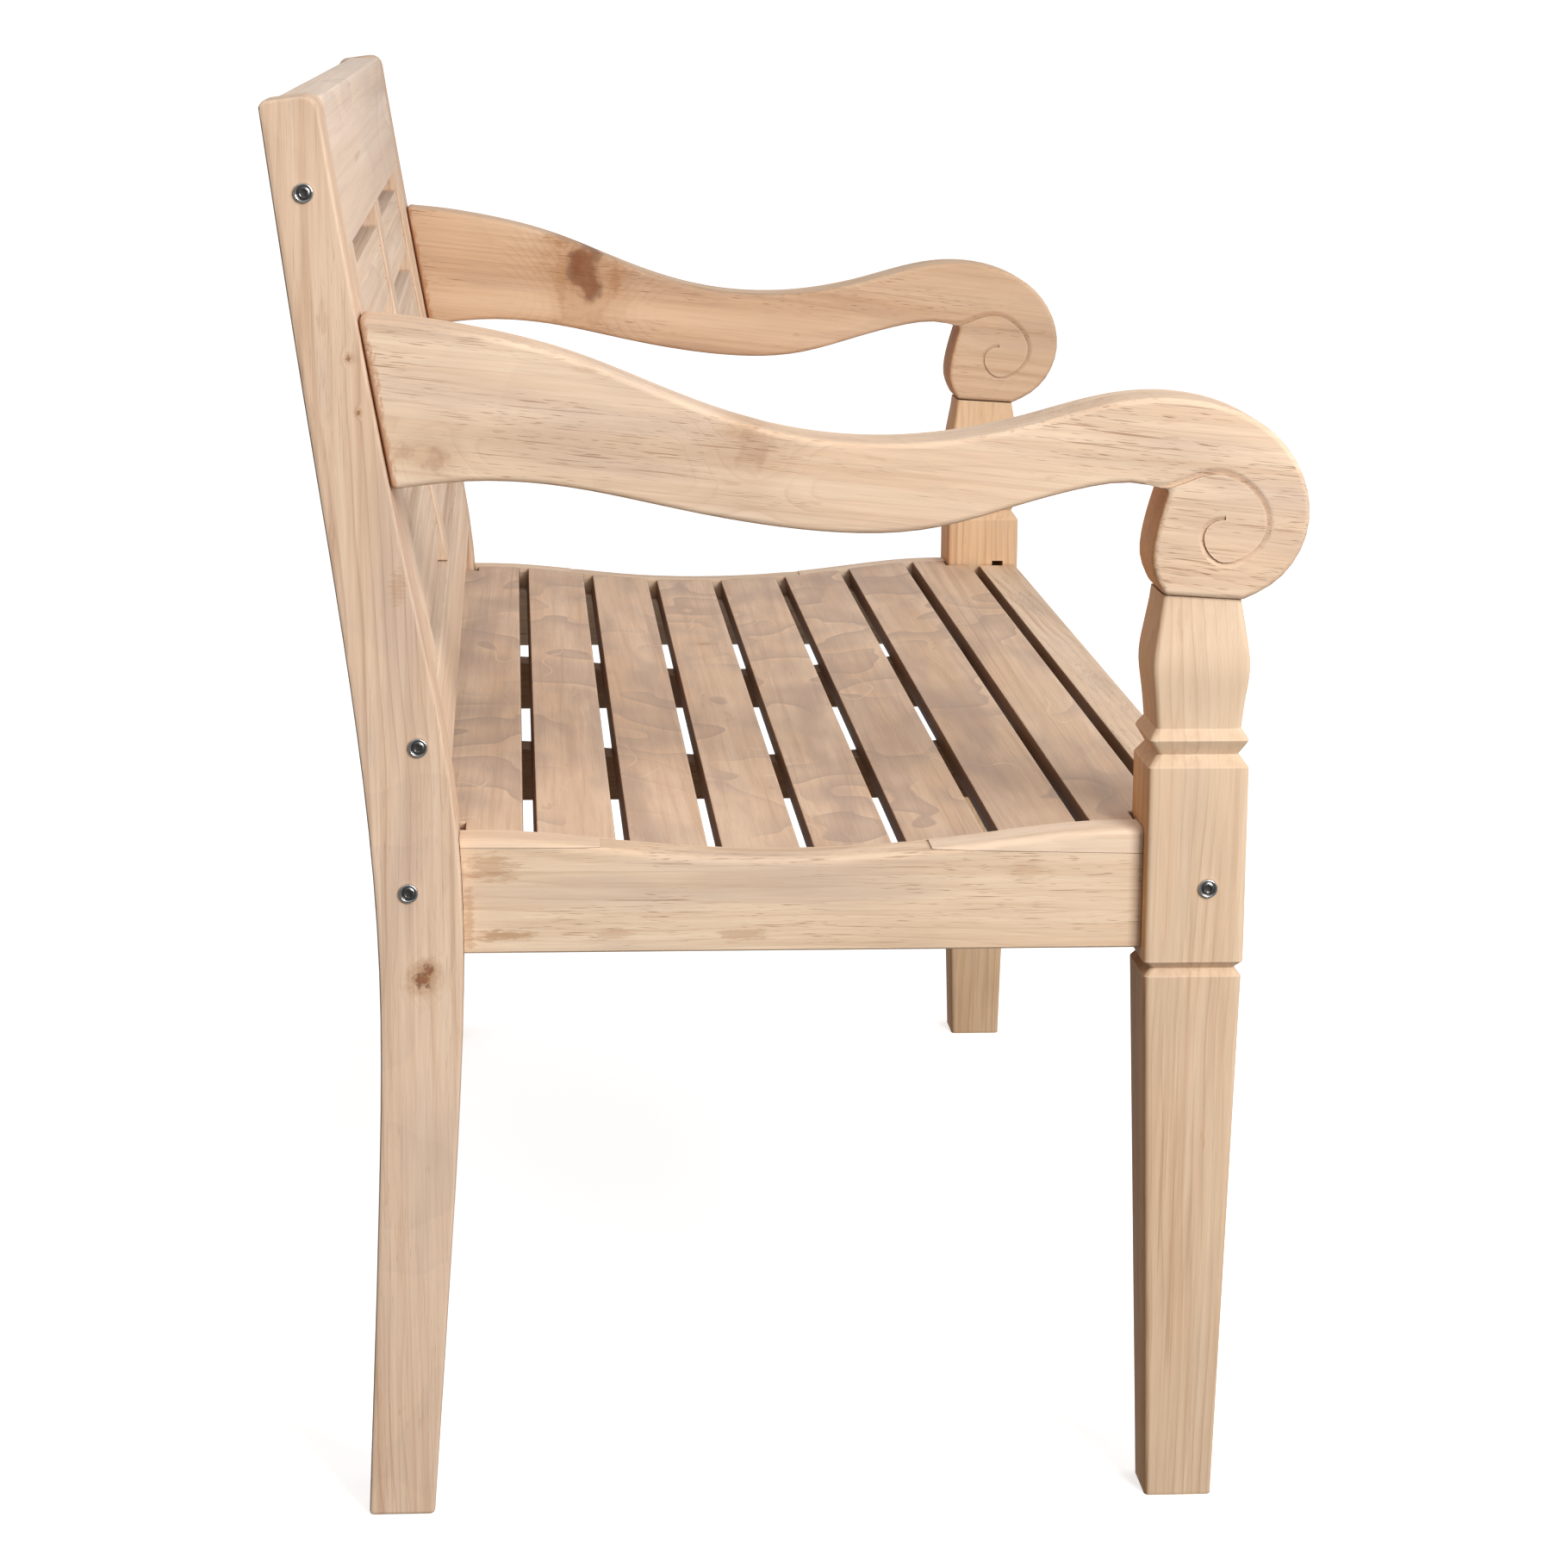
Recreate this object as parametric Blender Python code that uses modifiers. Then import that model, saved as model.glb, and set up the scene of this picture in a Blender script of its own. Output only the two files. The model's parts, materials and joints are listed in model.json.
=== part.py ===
"""A two-seat garden bench in teak, with scrolled arms, a dished slatted seat and a curved board back.

X runs along the bench, +Y points to its back and +Z up. The origin is on the ground, under the
middle of the bench. Every piece of timber is its own object, joined by tenons in mortises and by
eight bolts through the legs.
"""

import math

import bmesh
import bpy
import numpy as np
from mathutils import Matrix, Vector

GAP = 0.0003  # between two pieces that touch

# Frame
HALF_LENGTH = 0.600  # outer faces of the legs
LEG_THICK = 0.064
LEG_INNER = HALF_LENGTH - LEG_THICK
ARRIS = 0.0038  # rounding of the legs' and arms' long edges
SLAT_ARRIS = 0.0018
BOARD_ARRIS = 0.0012

# Rear legs, as (y, z) points down the middle of each curved face
LEG_FRONT_POINTS = [
    (0.2260, 0.000),
    (0.2130, 0.185),
    (0.2047, 0.350),
    (0.2084, 0.459),
    (0.2340, 0.602),
    (0.2612, 0.745),
    (0.2875, 0.900),
]
LEG_BACK_POINTS = [
    (0.2680, 0.000),
    (0.2590, 0.220),
    (0.2575, 0.370),
    (0.2700, 0.520),
    (0.2970, 0.712),
    (0.3225, 0.896),
]
LEG_TOP_RADIUS = 0.010
LEG_TOP_RISE = 0.003  # of the legs' front corners above the top rail
LEG_TOP_SLOPE = -0.14

# Front posts
POST_X = HALF_LENGTH - LEG_THICK / 2
POST_Y = -0.2566
POST_HALF = 0.032
FOOT_HALF = 0.0218
FOOT_LEAN = -0.002
TAPER_TOP = 0.3525
BLOCK_LOW = 0.3615
BLOCK_HIGH = 0.4885
LOWER_GROOVE = (0.0272, 0.3575)  # (half width, z) at the bottom of the V groove below the block
UPPER_GROOVE = (0.0262, 0.4955)
COLLAR_Z = 0.505
COLLAR_HALF = 0.0316
COLLAR_EASE = 0.0018  # rounding of the collar's edge
NECK_Z = 0.512
NECK_HALF = 0.0272
SWELL_POINTS = [  # (half width, z) of the swelling between the collar and the arm
    (0.0274, 0.514),
    (0.0290, 0.531),
    (0.0310, 0.551),
    (0.0287, 0.571),
    (0.0250, 0.5934),
]
POST_TOP_SLOPE = 0.060

# Arms
ARM_INNER = 0.542
ARM_OUTER = 0.598
ARM_TOP_POINTS = [  # over the top, round the scroll and back to the post
    (0.2670, 0.7680),
    (0.2335, 0.7649),
    (0.2006, 0.7598),
    (0.1367, 0.7442),
    (0.0723, 0.7190),
    (0.0075, 0.6983),
    (-0.0576, 0.6914),
    (-0.1445, 0.7030),
    (-0.2097, 0.7189),
    (-0.2645, 0.7152),
    (-0.2973, 0.6987),
    (-0.3200, 0.6630),
    (-0.3210, 0.6370),
    (-0.3005, 0.6040),
    (-0.2820, 0.5940),
]
ARM_NOTCH_POINTS = [  # behind the post, up to the notch
    (-0.2315, 0.5970),
    (-0.2240, 0.6150),
    (-0.2245, 0.6300),
    (-0.2330, 0.6625),
]
ARM_UNDER_POINTS = [
    (-0.2330, 0.6625),
    (-0.2120, 0.6669),
    (-0.1800, 0.6637),
    (-0.1380, 0.6526),
    (-0.0847, 0.6386),
    (-0.0208, 0.6369),
    (0.0746, 0.6518),
    (0.1380, 0.6646),
    (0.2007, 0.6682),
    (0.2480, 0.6630),
]
SPIRAL_POINTS = [  # the crisp inner edge of the carving, from the notch to the scroll's eye
    (-0.2180, 0.6645),
    (-0.2325, 0.6638),
    (-0.2494, 0.6694),
    (-0.2645, 0.6721),
    (-0.2791, 0.6666),
    (-0.2902, 0.6551),
    (-0.2943, 0.6399),
    (-0.2897, 0.6290),
    (-0.2796, 0.6208),
    (-0.2676, 0.6178),
    (-0.2574, 0.6265),
    (-0.2563, 0.6365),
    (-0.2610, 0.6422),
    (-0.2690, 0.6440),
]
SPIRAL_STEPS = 52
SPIRAL_WIDTH = 0.0058
SPIRAL_DEPTH = 0.0024
SPIRAL_EYE = 0.62  # width and depth at the eye, as a share of the full ones
CARVING = (  # (share of width, share of depth), ending just outside the wood
    (0.10, 1.0),
    (0.32, 0.96),
    (0.62, 0.42),
    (1.05, -0.05),
)
CARVING_CLEAR = 0.001  # how far the carving's cutter stands out of the wood

# Seat
DISH_POINTS = [  # the seat's upper surface, from the front rail to the rear one
    (-0.2570, 0.4460),
    (-0.1930, 0.4457),
    (-0.1280, 0.4387),
    (-0.0680, 0.4323),
    (-0.0110, 0.4297),
    (0.0640, 0.4317),
    (0.1320, 0.4385),
    (0.1740, 0.4418),
    (0.2240, 0.4424),
]
SLAT_COUNT = 8
SLAT_REAR = 0.217
SLAT_WIDTH = 0.0505
SLAT_PITCH = 0.0587
SLAT_THICK = 0.018
SIDE_RAIL_INNER = 0.559
SIDE_RAIL_THICK = 0.028
SIDE_RAIL_LOW = 0.369
GLUE_LINE_POINTS = [(-0.2245, 0.4302), (-0.0950, 0.4333), (0.2040, 0.4367)]
LIP_END = 0.0004  # thickness at which a lip runs out
SIDE_RAIL_ROUND = 0.0055  # rounding of the upper outer edge
TURN_LIMITS = (0.2, 0.9)  # where that rounding may start, as shares of a strip's height
TURN_LEVELS = 5  # levels below and above the start of the rounding
SIDE_RAIL_STATIONS = 24
LIP_STATIONS = 48
SUPPORT_STATIONS = 14
SLAT_CLEAR = 0.0025  # between a slat's notch and the leg or post in it
CLEAT_WIDTH = 0.022
CLEAT_HIGH = 0.020
BEARER_X = 0.180
BEARER_THICK = 0.028
BEARER_LOW = 0.384
FRONT_RAIL = ((-0.287, -0.253), (0.371, 0.446))
REAR_RAIL = ((0.224, 0.252), (0.373, 0.449))

# Back
RAIL_THICK = 0.026
BAR_THICK = 0.024
BAR_RECESS = 0.001
BOARD_THICK = 0.018
BOARD_RECESS = 0.003
LOWER_RAIL = (0.482, 0.535)
TOP_RAIL = (0.805, 0.8985)
END_BAR = (0.457, 0.522)
MIDDLE_BAR_HALF = 0.030
BOARDS = {  # heights of each board, and of the two grooves along it
    "upper": ((0.735, 0.787), (0.749, 0.773)),
    "middle": ((0.622, 0.718), (0.634, 0.706)),
    "lower": ((0.552, 0.604), (0.565, 0.591)),
}
GROOVE_WIDTH = 0.0026
GROOVE_DEPTH = 0.0016
TALL_PIECE = 0.08  # back pieces taller than this follow the curve with more levels

# Tenons
TENON_THICK = 0.010
TENON_LONG = 0.035
BOARD_TENON_THICK = 0.008
BOARD_TENON_LONG = 0.012
SHOULDER = 0.008  # a tenon is this much narrower than its piece on each side
ROOT = 0.005  # a tenon starts this far inside its piece
SIDE_RAIL_TENON_HIGH = 0.422
SIDE_RAIL_TENON_LONG = 0.014
ARM_TENON = (0.690, 0.735)
ARM_TENON_LONG = 0.018
ARM_TENON_THICK = 0.020
POST_TENON_LONG = 0.036
OPEN_MORTISE_TOP = 0.450  # the front mortises show above their rail

# Bolts, as (y, z) on the legs' outer faces
BOLTS = {
    "top_rail": (0.2958, 0.8426),
    "lower_back_rail": (0.2313, 0.5037),
    "rear_seat_rail": (0.2382, 0.4114),
    "front_seat_rail": (-0.2642, 0.4104),
}
SHANK_RADIUS = 0.003
BORE_RADIUS = 0.0034
SHANK_LONG = 0.110
WASHER_RADIUS = 0.0060
WASHER_HIGH = 0.0020
WASHER_FLOOR = 0.0006
HEAD_RADIUS = 0.0042
HEAD_HIGH = 0.0017
SOCKET_RADIUS = 0.0023
SOCKET_DEPTH = 0.0030
ROUND_SIDES = 16

TEAK = (0.60, 0.40, 0.24)
PALE_TEAK = (0.70, 0.51, 0.33)
SHADED_TEAK = (0.47, 0.32, 0.20)
CHROME = (0.75, 0.75, 0.77)


def new_collection(name):
    collection = bpy.data.collections.new(name)
    bpy.context.scene.collection.children.link(collection)
    return collection


def clear_scene():
    for obj in list(bpy.data.objects):
        bpy.data.objects.remove(obj, do_unlink=True)


clear_scene()
PARTS = new_collection("garden_bench")
CUTTERS = new_collection("cutters")


# Curves and outlines


def smooth_run(points, steps):
    """Points along the natural cubic spline through the given ones, spread evenly by chord length."""
    points = np.array(points, float)
    spans = np.linalg.norm(np.diff(points, axis=0), axis=1)
    along = np.concatenate([[0.0], np.cumsum(spans)])
    matrix = np.eye(len(points))
    target = np.zeros_like(points)
    for i in range(1, len(points) - 1):
        matrix[i, i - 1 : i + 2] = spans[i - 1], 2 * (spans[i - 1] + spans[i]), spans[i]
        slope_after = (points[i + 1] - points[i]) / spans[i]
        slope_before = (points[i] - points[i - 1]) / spans[i - 1]
        target[i] = 6 * (slope_after - slope_before)
    bend = np.linalg.solve(matrix, target)
    at = np.linspace(0.0, along[-1], steps + 1)
    i = np.clip(np.searchsorted(along, at, side="right") - 1, 0, len(spans) - 1)
    before = ((along[i + 1] - at) / spans[i])[:, None]
    after = 1 - before
    sag = (before**3 - before) * bend[i] + (after**3 - after) * bend[i + 1]
    return before * points[i] + after * points[i + 1] + sag * spans[i][:, None] ** 2 / 6


LEG_FRONT = smooth_run(LEG_FRONT_POINTS, 60)
LEG_BACK = smooth_run(LEG_BACK_POINTS, 60)
DISH = smooth_run(DISH_POINTS, 60)
GLUE_LINE = smooth_run(GLUE_LINE_POINTS, 20)


def leg_front(z):
    return float(np.interp(z, LEG_FRONT[:, 1], LEG_FRONT[:, 0]))


def against_leg(low, high, count):
    """Points up the front of a rear leg, for the end of a piece that butts on it."""
    return [(leg_front(z) - GAP, float(z)) for z in np.linspace(low, high, count)]


def dish(y):
    return float(np.interp(y, DISH[:, 0], DISH[:, 1]))


def dish_tilt(y):
    """The slope of the seat at y, as an angle about X."""
    step = 0.01
    return math.atan2(dish(y + step) - dish(y - step), 2 * step)


def glue_line(y):
    return float(np.interp(y, GLUE_LINE[:, 0], GLUE_LINE[:, 1]))


def fillet(before, corner, after, radius, steps=4):
    """The points of an arc that rounds a corner between two straight edges."""
    corner = Vector(corner)
    to_before = (Vector(before) - corner).normalized()
    to_after = (Vector(after) - corner).normalized()
    half_angle = to_before.angle(to_after) / 2
    centre = corner + (to_before + to_after).normalized() * radius / math.sin(half_angle)
    reach = radius / math.tan(half_angle)
    start = corner + to_before * reach - centre
    end = corner + to_after * reach - centre
    return [tuple(centre + start.slerp(end, i / steps).normalized() * radius) for i in range(steps + 1)]


# Solids


def material(name, colour, roughness=0.6, metallic=0.0):
    result = bpy.data.materials.new(name)
    result.use_nodes = True
    shader = result.node_tree.nodes["Principled BSDF"]
    shader.inputs["Base Color"].default_value = (*colour, 1.0)
    shader.inputs["Roughness"].default_value = roughness
    shader.inputs["Metallic"].default_value = metallic
    return result


def keep(obj, colour, roughness=0.6, metallic=0.0):
    """Files an object as a part, with its own material."""
    PARTS.objects.link(obj)
    obj.data.materials.append(material(obj.name, colour, roughness, metallic))
    return obj


def as_cutter(obj):
    CUTTERS.objects.link(obj)
    obj.hide_render = True
    obj.display_type = "WIRE"
    return obj


def mesh_of_curve(curve, name):
    """A curve object's mesh as a new object in the same place, its caps welded and its flat faces whole."""
    CUTTERS.objects.link(curve)
    bpy.context.view_layer.update()
    evaluated = curve.evaluated_get(bpy.context.evaluated_depsgraph_get())
    mesh = bpy.data.meshes.new_from_object(evaluated)
    shape = bmesh.new()
    shape.from_mesh(mesh)
    bmesh.ops.remove_doubles(shape, verts=shape.verts, dist=0.00001)
    flat = math.radians(0.1)
    bmesh.ops.dissolve_limit(shape, angle_limit=flat, verts=shape.verts, edges=shape.edges)
    bmesh.ops.recalc_face_normals(shape, faces=shape.faces)
    shape.to_mesh(mesh)
    shape.free()
    obj = bpy.data.objects.new(name, mesh)
    obj.matrix_world = curve.matrix_world
    bpy.data.objects.remove(curve, do_unlink=True)
    return obj


def outline_solid(name, outline, thick, place):
    """A flat outline in its own XY plane, drawn out by half of thick to each side of it."""
    data = bpy.data.curves.new(name, "CURVE")
    data.dimensions = "2D"
    data.fill_mode = "BOTH"
    data.extrude = thick / 2
    spline = data.splines.new("POLY")
    spline.points.add(len(outline) - 1)
    for point, (u, v) in zip(spline.points, outline):
        point.co = (u, v, 0.0, 1.0)
    spline.use_cyclic_u = True
    curve = bpy.data.objects.new(name + "_outline", data)
    curve.matrix_world = place
    return mesh_of_curve(curve, name)


def side_profile(name, outline, low_x, high_x):
    """An outline given in (y, z), drawn out along X."""
    place = Matrix(((0, 0, 1, (low_x + high_x) / 2), (1, 0, 0, 0), (0, 1, 0, 0), (0, 0, 0, 1)))
    return outline_solid(name, outline, high_x - low_x, place)


def box(name, low, high):
    shape = bmesh.new()
    bmesh.ops.create_cube(shape, size=1.0)
    size = Vector(high) - Vector(low)
    bmesh.ops.scale(shape, vec=size, verts=shape.verts)
    mesh = bpy.data.meshes.new(name)
    shape.to_mesh(mesh)
    shape.free()
    obj = bpy.data.objects.new(name, mesh)
    obj.location = (Vector(high) + Vector(low)) / 2
    return obj


def cylinder(name, radius, start, end, sides=ROUND_SIDES):
    """A round bar along X between two points."""
    shape = bmesh.new()
    long = abs(end[0] - start[0])
    bmesh.ops.create_cone(shape, cap_ends=True, segments=sides, radius1=radius, radius2=radius, depth=long)
    bmesh.ops.rotate(shape, matrix=Matrix.Rotation(math.radians(90), 3, "Y"), verts=shape.verts)
    mesh = bpy.data.meshes.new(name)
    shape.to_mesh(mesh)
    shape.free()
    obj = bpy.data.objects.new(name, mesh)
    obj.location = (Vector(start) + Vector(end)) / 2
    return obj


def loft(name, rings):
    """A closed solid through rings of an even count of points, its ends closed across the ring."""
    shape = bmesh.new()
    rows = [[shape.verts.new(point) for point in ring] for ring in rings]
    for before, after in zip(rows, rows[1:]):
        for i, vert in enumerate(before):
            beside = (i + 1) % len(before)
            shape.faces.new((vert, before[beside], after[beside], after[i]))
    for row in (rows[0], rows[-1]):
        for i in range(len(row) // 2 - 1):
            shape.faces.new((row[i], row[i + 1], row[-i - 2], row[-i - 1]))
    bmesh.ops.recalc_face_normals(shape, faces=shape.faces)
    mesh = bpy.data.meshes.new(name)
    shape.to_mesh(mesh)
    shape.free()
    return bpy.data.objects.new(name, mesh)


def round_edges(obj, width=ARRIS, segments=2, sharpest=40):
    bevel = obj.modifiers.new("arris", "BEVEL")
    bevel.width = width
    bevel.segments = segments
    bevel.limit_method = "ANGLE"
    bevel.angle_limit = math.radians(sharpest)
    obj.data.shade_smooth()
    obj.data.set_sharp_from_angle(angle=math.radians(sharpest))
    return obj


def boolean(obj, other, operation, solver="EXACT"):
    step = obj.modifiers.new(operation.lower(), "BOOLEAN")
    step.operation = operation
    step.solver = solver
    step.object = other


def tenon(piece, into, shape):
    """Gives one piece a tenon and the other its mortise; shape(grow) makes the tenon's solid."""
    boolean(piece, as_cutter(shape(0.0)), "UNION")
    boolean(into, as_cutter(shape(GAP)), "DIFFERENCE")


def box_tenon(piece, into, low, high):
    """A square tenon that fills the given box."""

    def shape(grow):
        name = f"{piece.name}_in_{into.name}"
        spread = Vector((grow, grow, grow))
        return box(name, Vector(low) - spread, Vector(high) + spread)

    tenon(piece, into, shape)


# Frame


def rear_leg_outline():
    shoulder = TOP_RAIL[1] - LEG_TOP_RADIUS
    low_front = [tuple(p) for p in LEG_FRONT if p[1] < shoulder]
    low_back = [tuple(p) for p in LEG_BACK if p[1] < shoulder]
    front_top = (leg_front(TOP_RAIL[1]), TOP_RAIL[1] + LEG_TOP_RISE)
    back_y = LEG_BACK_POINTS[-1][0]
    back_top = (back_y, front_top[1] + LEG_TOP_SLOPE * (back_y - front_top[0]))
    outline = low_front[::2] + fillet(low_front[-1], front_top, back_top, LEG_TOP_RADIUS)
    return outline + fillet(front_top, back_top, low_back[-1], ARRIS, 2) + low_back[::2][::-1]


def rear_leg(side, name):
    inner, outer = sorted((side * LEG_INNER, side * HALF_LENGTH))
    leg = side_profile(name, rear_leg_outline(), inner, outer)
    return keep(round_edges(leg), TEAK)


def post_levels():
    """The (half width, z) of the front post, from the foot up."""
    chamfer = 0.0008
    collar_low = COLLAR_Z - COLLAR_EASE
    taper = [(FOOT_HALF, 0.0), (POST_HALF - chamfer, TAPER_TOP)]
    block = [
        (POST_HALF - chamfer, BLOCK_LOW),
        (POST_HALF, BLOCK_LOW + chamfer),
        (POST_HALF, BLOCK_HIGH - chamfer),
        (POST_HALF - chamfer, BLOCK_HIGH),
    ]
    collar = [
        (COLLAR_HALF - chamfer, collar_low),
        (COLLAR_HALF, COLLAR_Z),
        (COLLAR_HALF - chamfer, COLLAR_Z + COLLAR_EASE),
    ]
    swell = [tuple(p) for p in smooth_run(SWELL_POINTS, 14)]
    return taper + [LOWER_GROOVE] + block + [UPPER_GROOVE] + collar + [(NECK_HALF, NECK_Z)] + swell


def square_ring(centre, half, radius, steps):
    """The corners of a square with rounded corners, in order."""
    ring = []
    for quarter in range(4):
        turn = math.radians(90 * quarter)
        for i in range(steps + 1):
            angle = turn + math.radians(90) * i / steps
            corner = Matrix.Rotation(turn, 2) @ Vector((half - radius, half - radius))
            ring.append(Vector(centre) + corner + radius * Vector((math.cos(angle), math.sin(angle))))
    return ring


def front_post(side, name):
    shape = bmesh.new()
    rings = []
    levels = post_levels()
    for half, z in levels:
        lean = FOOT_LEAN * max(0.0, 1 - z / TAPER_TOP)
        ring = square_ring((side * POST_X, POST_Y + lean), half, ARRIS, 3)
        slope = POST_TOP_SLOPE if z == levels[-1][1] else 0.0
        rings.append([shape.verts.new((x, y, z + slope * (y - POST_Y + half))) for x, y in ring])
    for below, above in zip(rings, rings[1:]):
        for i, vert in enumerate(below):
            after = (i + 1) % len(below)
            shape.faces.new((vert, below[after], above[after], above[i]))
    shape.faces.new(rings[0][::-1])
    shape.faces.new(rings[-1])
    mesh = bpy.data.meshes.new(name)
    shape.to_mesh(mesh)
    shape.free()
    post = bpy.data.objects.new(name, mesh)
    mesh.shade_smooth()
    mesh.set_sharp_from_angle(angle=math.radians(30))
    return keep(post, TEAK)


# Arms


def arm_outline():
    steps_per_point = 5
    top = smooth_run(ARM_TOP_POINTS, steps_per_point * len(ARM_TOP_POINTS))
    notch = smooth_run(ARM_NOTCH_POINTS, steps_per_point * 2)
    under = smooth_run(ARM_UNDER_POINTS, 4 * len(ARM_UNDER_POINTS))
    end = against_leg(ARM_UNDER_POINTS[-1][1], ARM_TOP_POINTS[0][1], 4)
    return [tuple(p) for p in top[1:]] + [tuple(p) for p in notch] + [tuple(p) for p in under[1:-1]] + end


def carving_section(share):
    """The carving's section where share of its route is done: (outward from the edge, into the wood)."""
    size = 1 - (1 - SPIRAL_EYE) * share**2
    across = [(SPIRAL_WIDTH * size * w, SPIRAL_DEPTH * size * d) for w, d in CARVING]
    return [(0.0, -CARVING_CLEAR), *across, (across[-1][0], -CARVING_CLEAR)]


def carving_cutter(name, face_x, outward):
    """The hollow that follows the scroll on one face of an arm, steep inside and shallow outside."""
    route = smooth_run(SPIRAL_POINTS, SPIRAL_STEPS)
    along = np.gradient(route, axis=0)
    along /= np.linalg.norm(along, axis=1)[:, None]
    rings = []
    for i, ((y, z), (to_y, to_z)) in enumerate(zip(route, along)):
        section = carving_section(i / SPIRAL_STEPS)
        rings.append([(face_x - outward * d, y - to_z * -w, z + to_y * -w) for w, d in section])
    return as_cutter(loft(name, rings))


def arm(side, name):
    inner, outer = sorted((side * ARM_INNER, side * ARM_OUTER))
    piece = round_edges(side_profile(name, arm_outline(), inner, outer), ARRIS, 3)
    for face_x, outward in ((inner, -1), (outer, 1)):
        boolean(piece, carving_cutter(f"{name}_carving", face_x, outward), "DIFFERENCE", "MANIFOLD")
    return keep(piece, TEAK)


# Seat


def strip_ring(side, y, low, high, ease, butts):
    """A section of a strip along the side of the seat, whose outer face rounds over towards the seat.

    ease is the chamfer of its lower edges. A section that butts on the rear leg follows its front.
    """
    inner, outer = SIDE_RAIL_INNER, SIDE_RAIL_INNER + SIDE_RAIL_THICK
    lowest, highest = [low + share * (high - low) for share in TURN_LIMITS]
    turn = min(max(dish(y) - SIDE_RAIL_ROUND, lowest), highest)
    levels = [*np.linspace(low + ease, turn, TURN_LEVELS), *np.linspace(turn, high, TURN_LEVELS)[1:]]
    up, down = [], []
    for z in levels:
        rise = max(0.0, z - dish(y) + SIDE_RAIL_ROUND)
        up.append((outer - SIDE_RAIL_ROUND + math.sqrt(SIDE_RAIL_ROUND**2 - rise**2), z))
        down.append((inner, z))
    if ease:
        up.insert(0, (outer - ease, low))
        down.insert(0, (inner + ease, low))
    return [(side * x, leg_front(z) - GAP if butts else y, float(z)) for x, z in up + down[::-1]]


def side_rail(side, name):
    """The board that joins a front post to a rear leg, under the seat's dish."""
    rear = leg_front(GLUE_LINE_POINTS[-1][1]) - GAP
    rings = []
    for y in np.linspace(rear, POST_Y + POST_HALF + GAP, SIDE_RAIL_STATIONS):
        high = min(dish(y), glue_line(y))
        rings.append(strip_ring(side, y, SIDE_RAIL_LOW, high, BOARD_ARRIS, y == rear))
    return keep(loft(name, rings), TEAK)


def rail_lip(side, name, end_y):
    """The strip glued on a side rail where the seat rises above it, at the rear or the front."""
    rings = []
    for y in np.linspace(end_y, 0.0, LIP_STATIONS):
        low = glue_line(y) + GAP
        if dish(y) > low + LIP_END:
            rings.append(strip_ring(side, y, low, dish(y), 0.0, y == end_y > 0))
    return keep(loft(name, rings), PALE_TEAK)


def under_seat_outline(front, rear, low):
    """A support from low up to the slats' undersides; low is a height or, if a function, low(y)."""
    stations = np.linspace(rear, front, SUPPORT_STATIONS)
    slat_below = [(y, dish(y) - SLAT_THICK - 2 * GAP) for y in stations]
    if callable(low):
        return [(y, low(y)) for y in reversed(stations)] + slat_below
    return [(front, low), (rear, low)] + slat_below


def cleat(side, name):
    """The strip inside a side rail that the slats' ends rest on."""
    front = POST_Y + POST_HALF + GAP
    rear = leg_front(BEARER_LOW) - GAP
    outline = under_seat_outline(front, rear, lambda y: dish(y) - SLAT_THICK - CLEAT_HIGH)
    near = SIDE_RAIL_INNER - GAP
    inner, outer = sorted((side * (near - CLEAT_WIDTH), side * near))
    return keep(side_profile(name, outline, inner, outer), SHADED_TEAK)


def bearer(x, name):
    """The board across the middle of the seat that carries the slats."""
    outline = under_seat_outline(FRONT_RAIL[0][1] + GAP, REAR_RAIL[0][0] - GAP, BEARER_LOW)
    return keep(side_profile(name, outline, x - BEARER_THICK / 2, x + BEARER_THICK / 2), SHADED_TEAK)


def notched_end(front, rear, corner_x, corner_front, corner_rear):
    """Half of a slat's plan, whose end stays between corner_front and corner_rear past corner_x."""
    end = SIDE_RAIL_INNER - GAP
    outline = [(corner_x, front)] if corner_front > front else [(end, front)]
    if corner_front > front:
        outline += [(corner_x, corner_front), (end, corner_front)]
    if corner_rear < rear:
        outline += [(end, corner_rear), (corner_x, corner_rear), (corner_x, rear)]
    else:
        outline += [(end, rear)]
    return outline


def seat_slat(index):
    """A slat, flat and straight, laid along the dish; index 0 is the rear one."""
    rear = SLAT_REAR - index * SLAT_PITCH
    front = rear - SLAT_WIDTH
    middle = (front + rear) / 2
    corner_x = LEG_INNER - SLAT_CLEAR
    corner_front = max(front, POST_Y + POST_HALF + SLAT_CLEAR)
    corner_rear = min(rear, leg_front(dish(rear) - SLAT_THICK) - SLAT_CLEAR)
    half = notched_end(
        front - middle, rear - middle, corner_x, corner_front - middle, corner_rear - middle
    )
    plan = half + [(-x, y) for x, y in reversed(half)]
    tilt = Matrix.Rotation(dish_tilt(middle), 4, "X")
    down = Matrix.Translation((0, 0, -SLAT_THICK / 2))
    place = Matrix.Translation((0, middle, dish(middle))) @ tilt @ down
    slat = outline_solid(f"seat_slat_{index + 1}", plan, SLAT_THICK, place)
    return keep(round_edges(slat, SLAT_ARRIS), TEAK)


def straight_rail(name, section):
    """A rail along the bench between the legs, with the given front-to-back and low-to-high limits."""
    (front, rear), (low, high) = section
    end = LEG_INNER - GAP
    rail = box(name, (-end, front, low), (end, rear, high))
    return keep(round_edges(rail, SLAT_ARRIS), TEAK)


# Back


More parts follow.
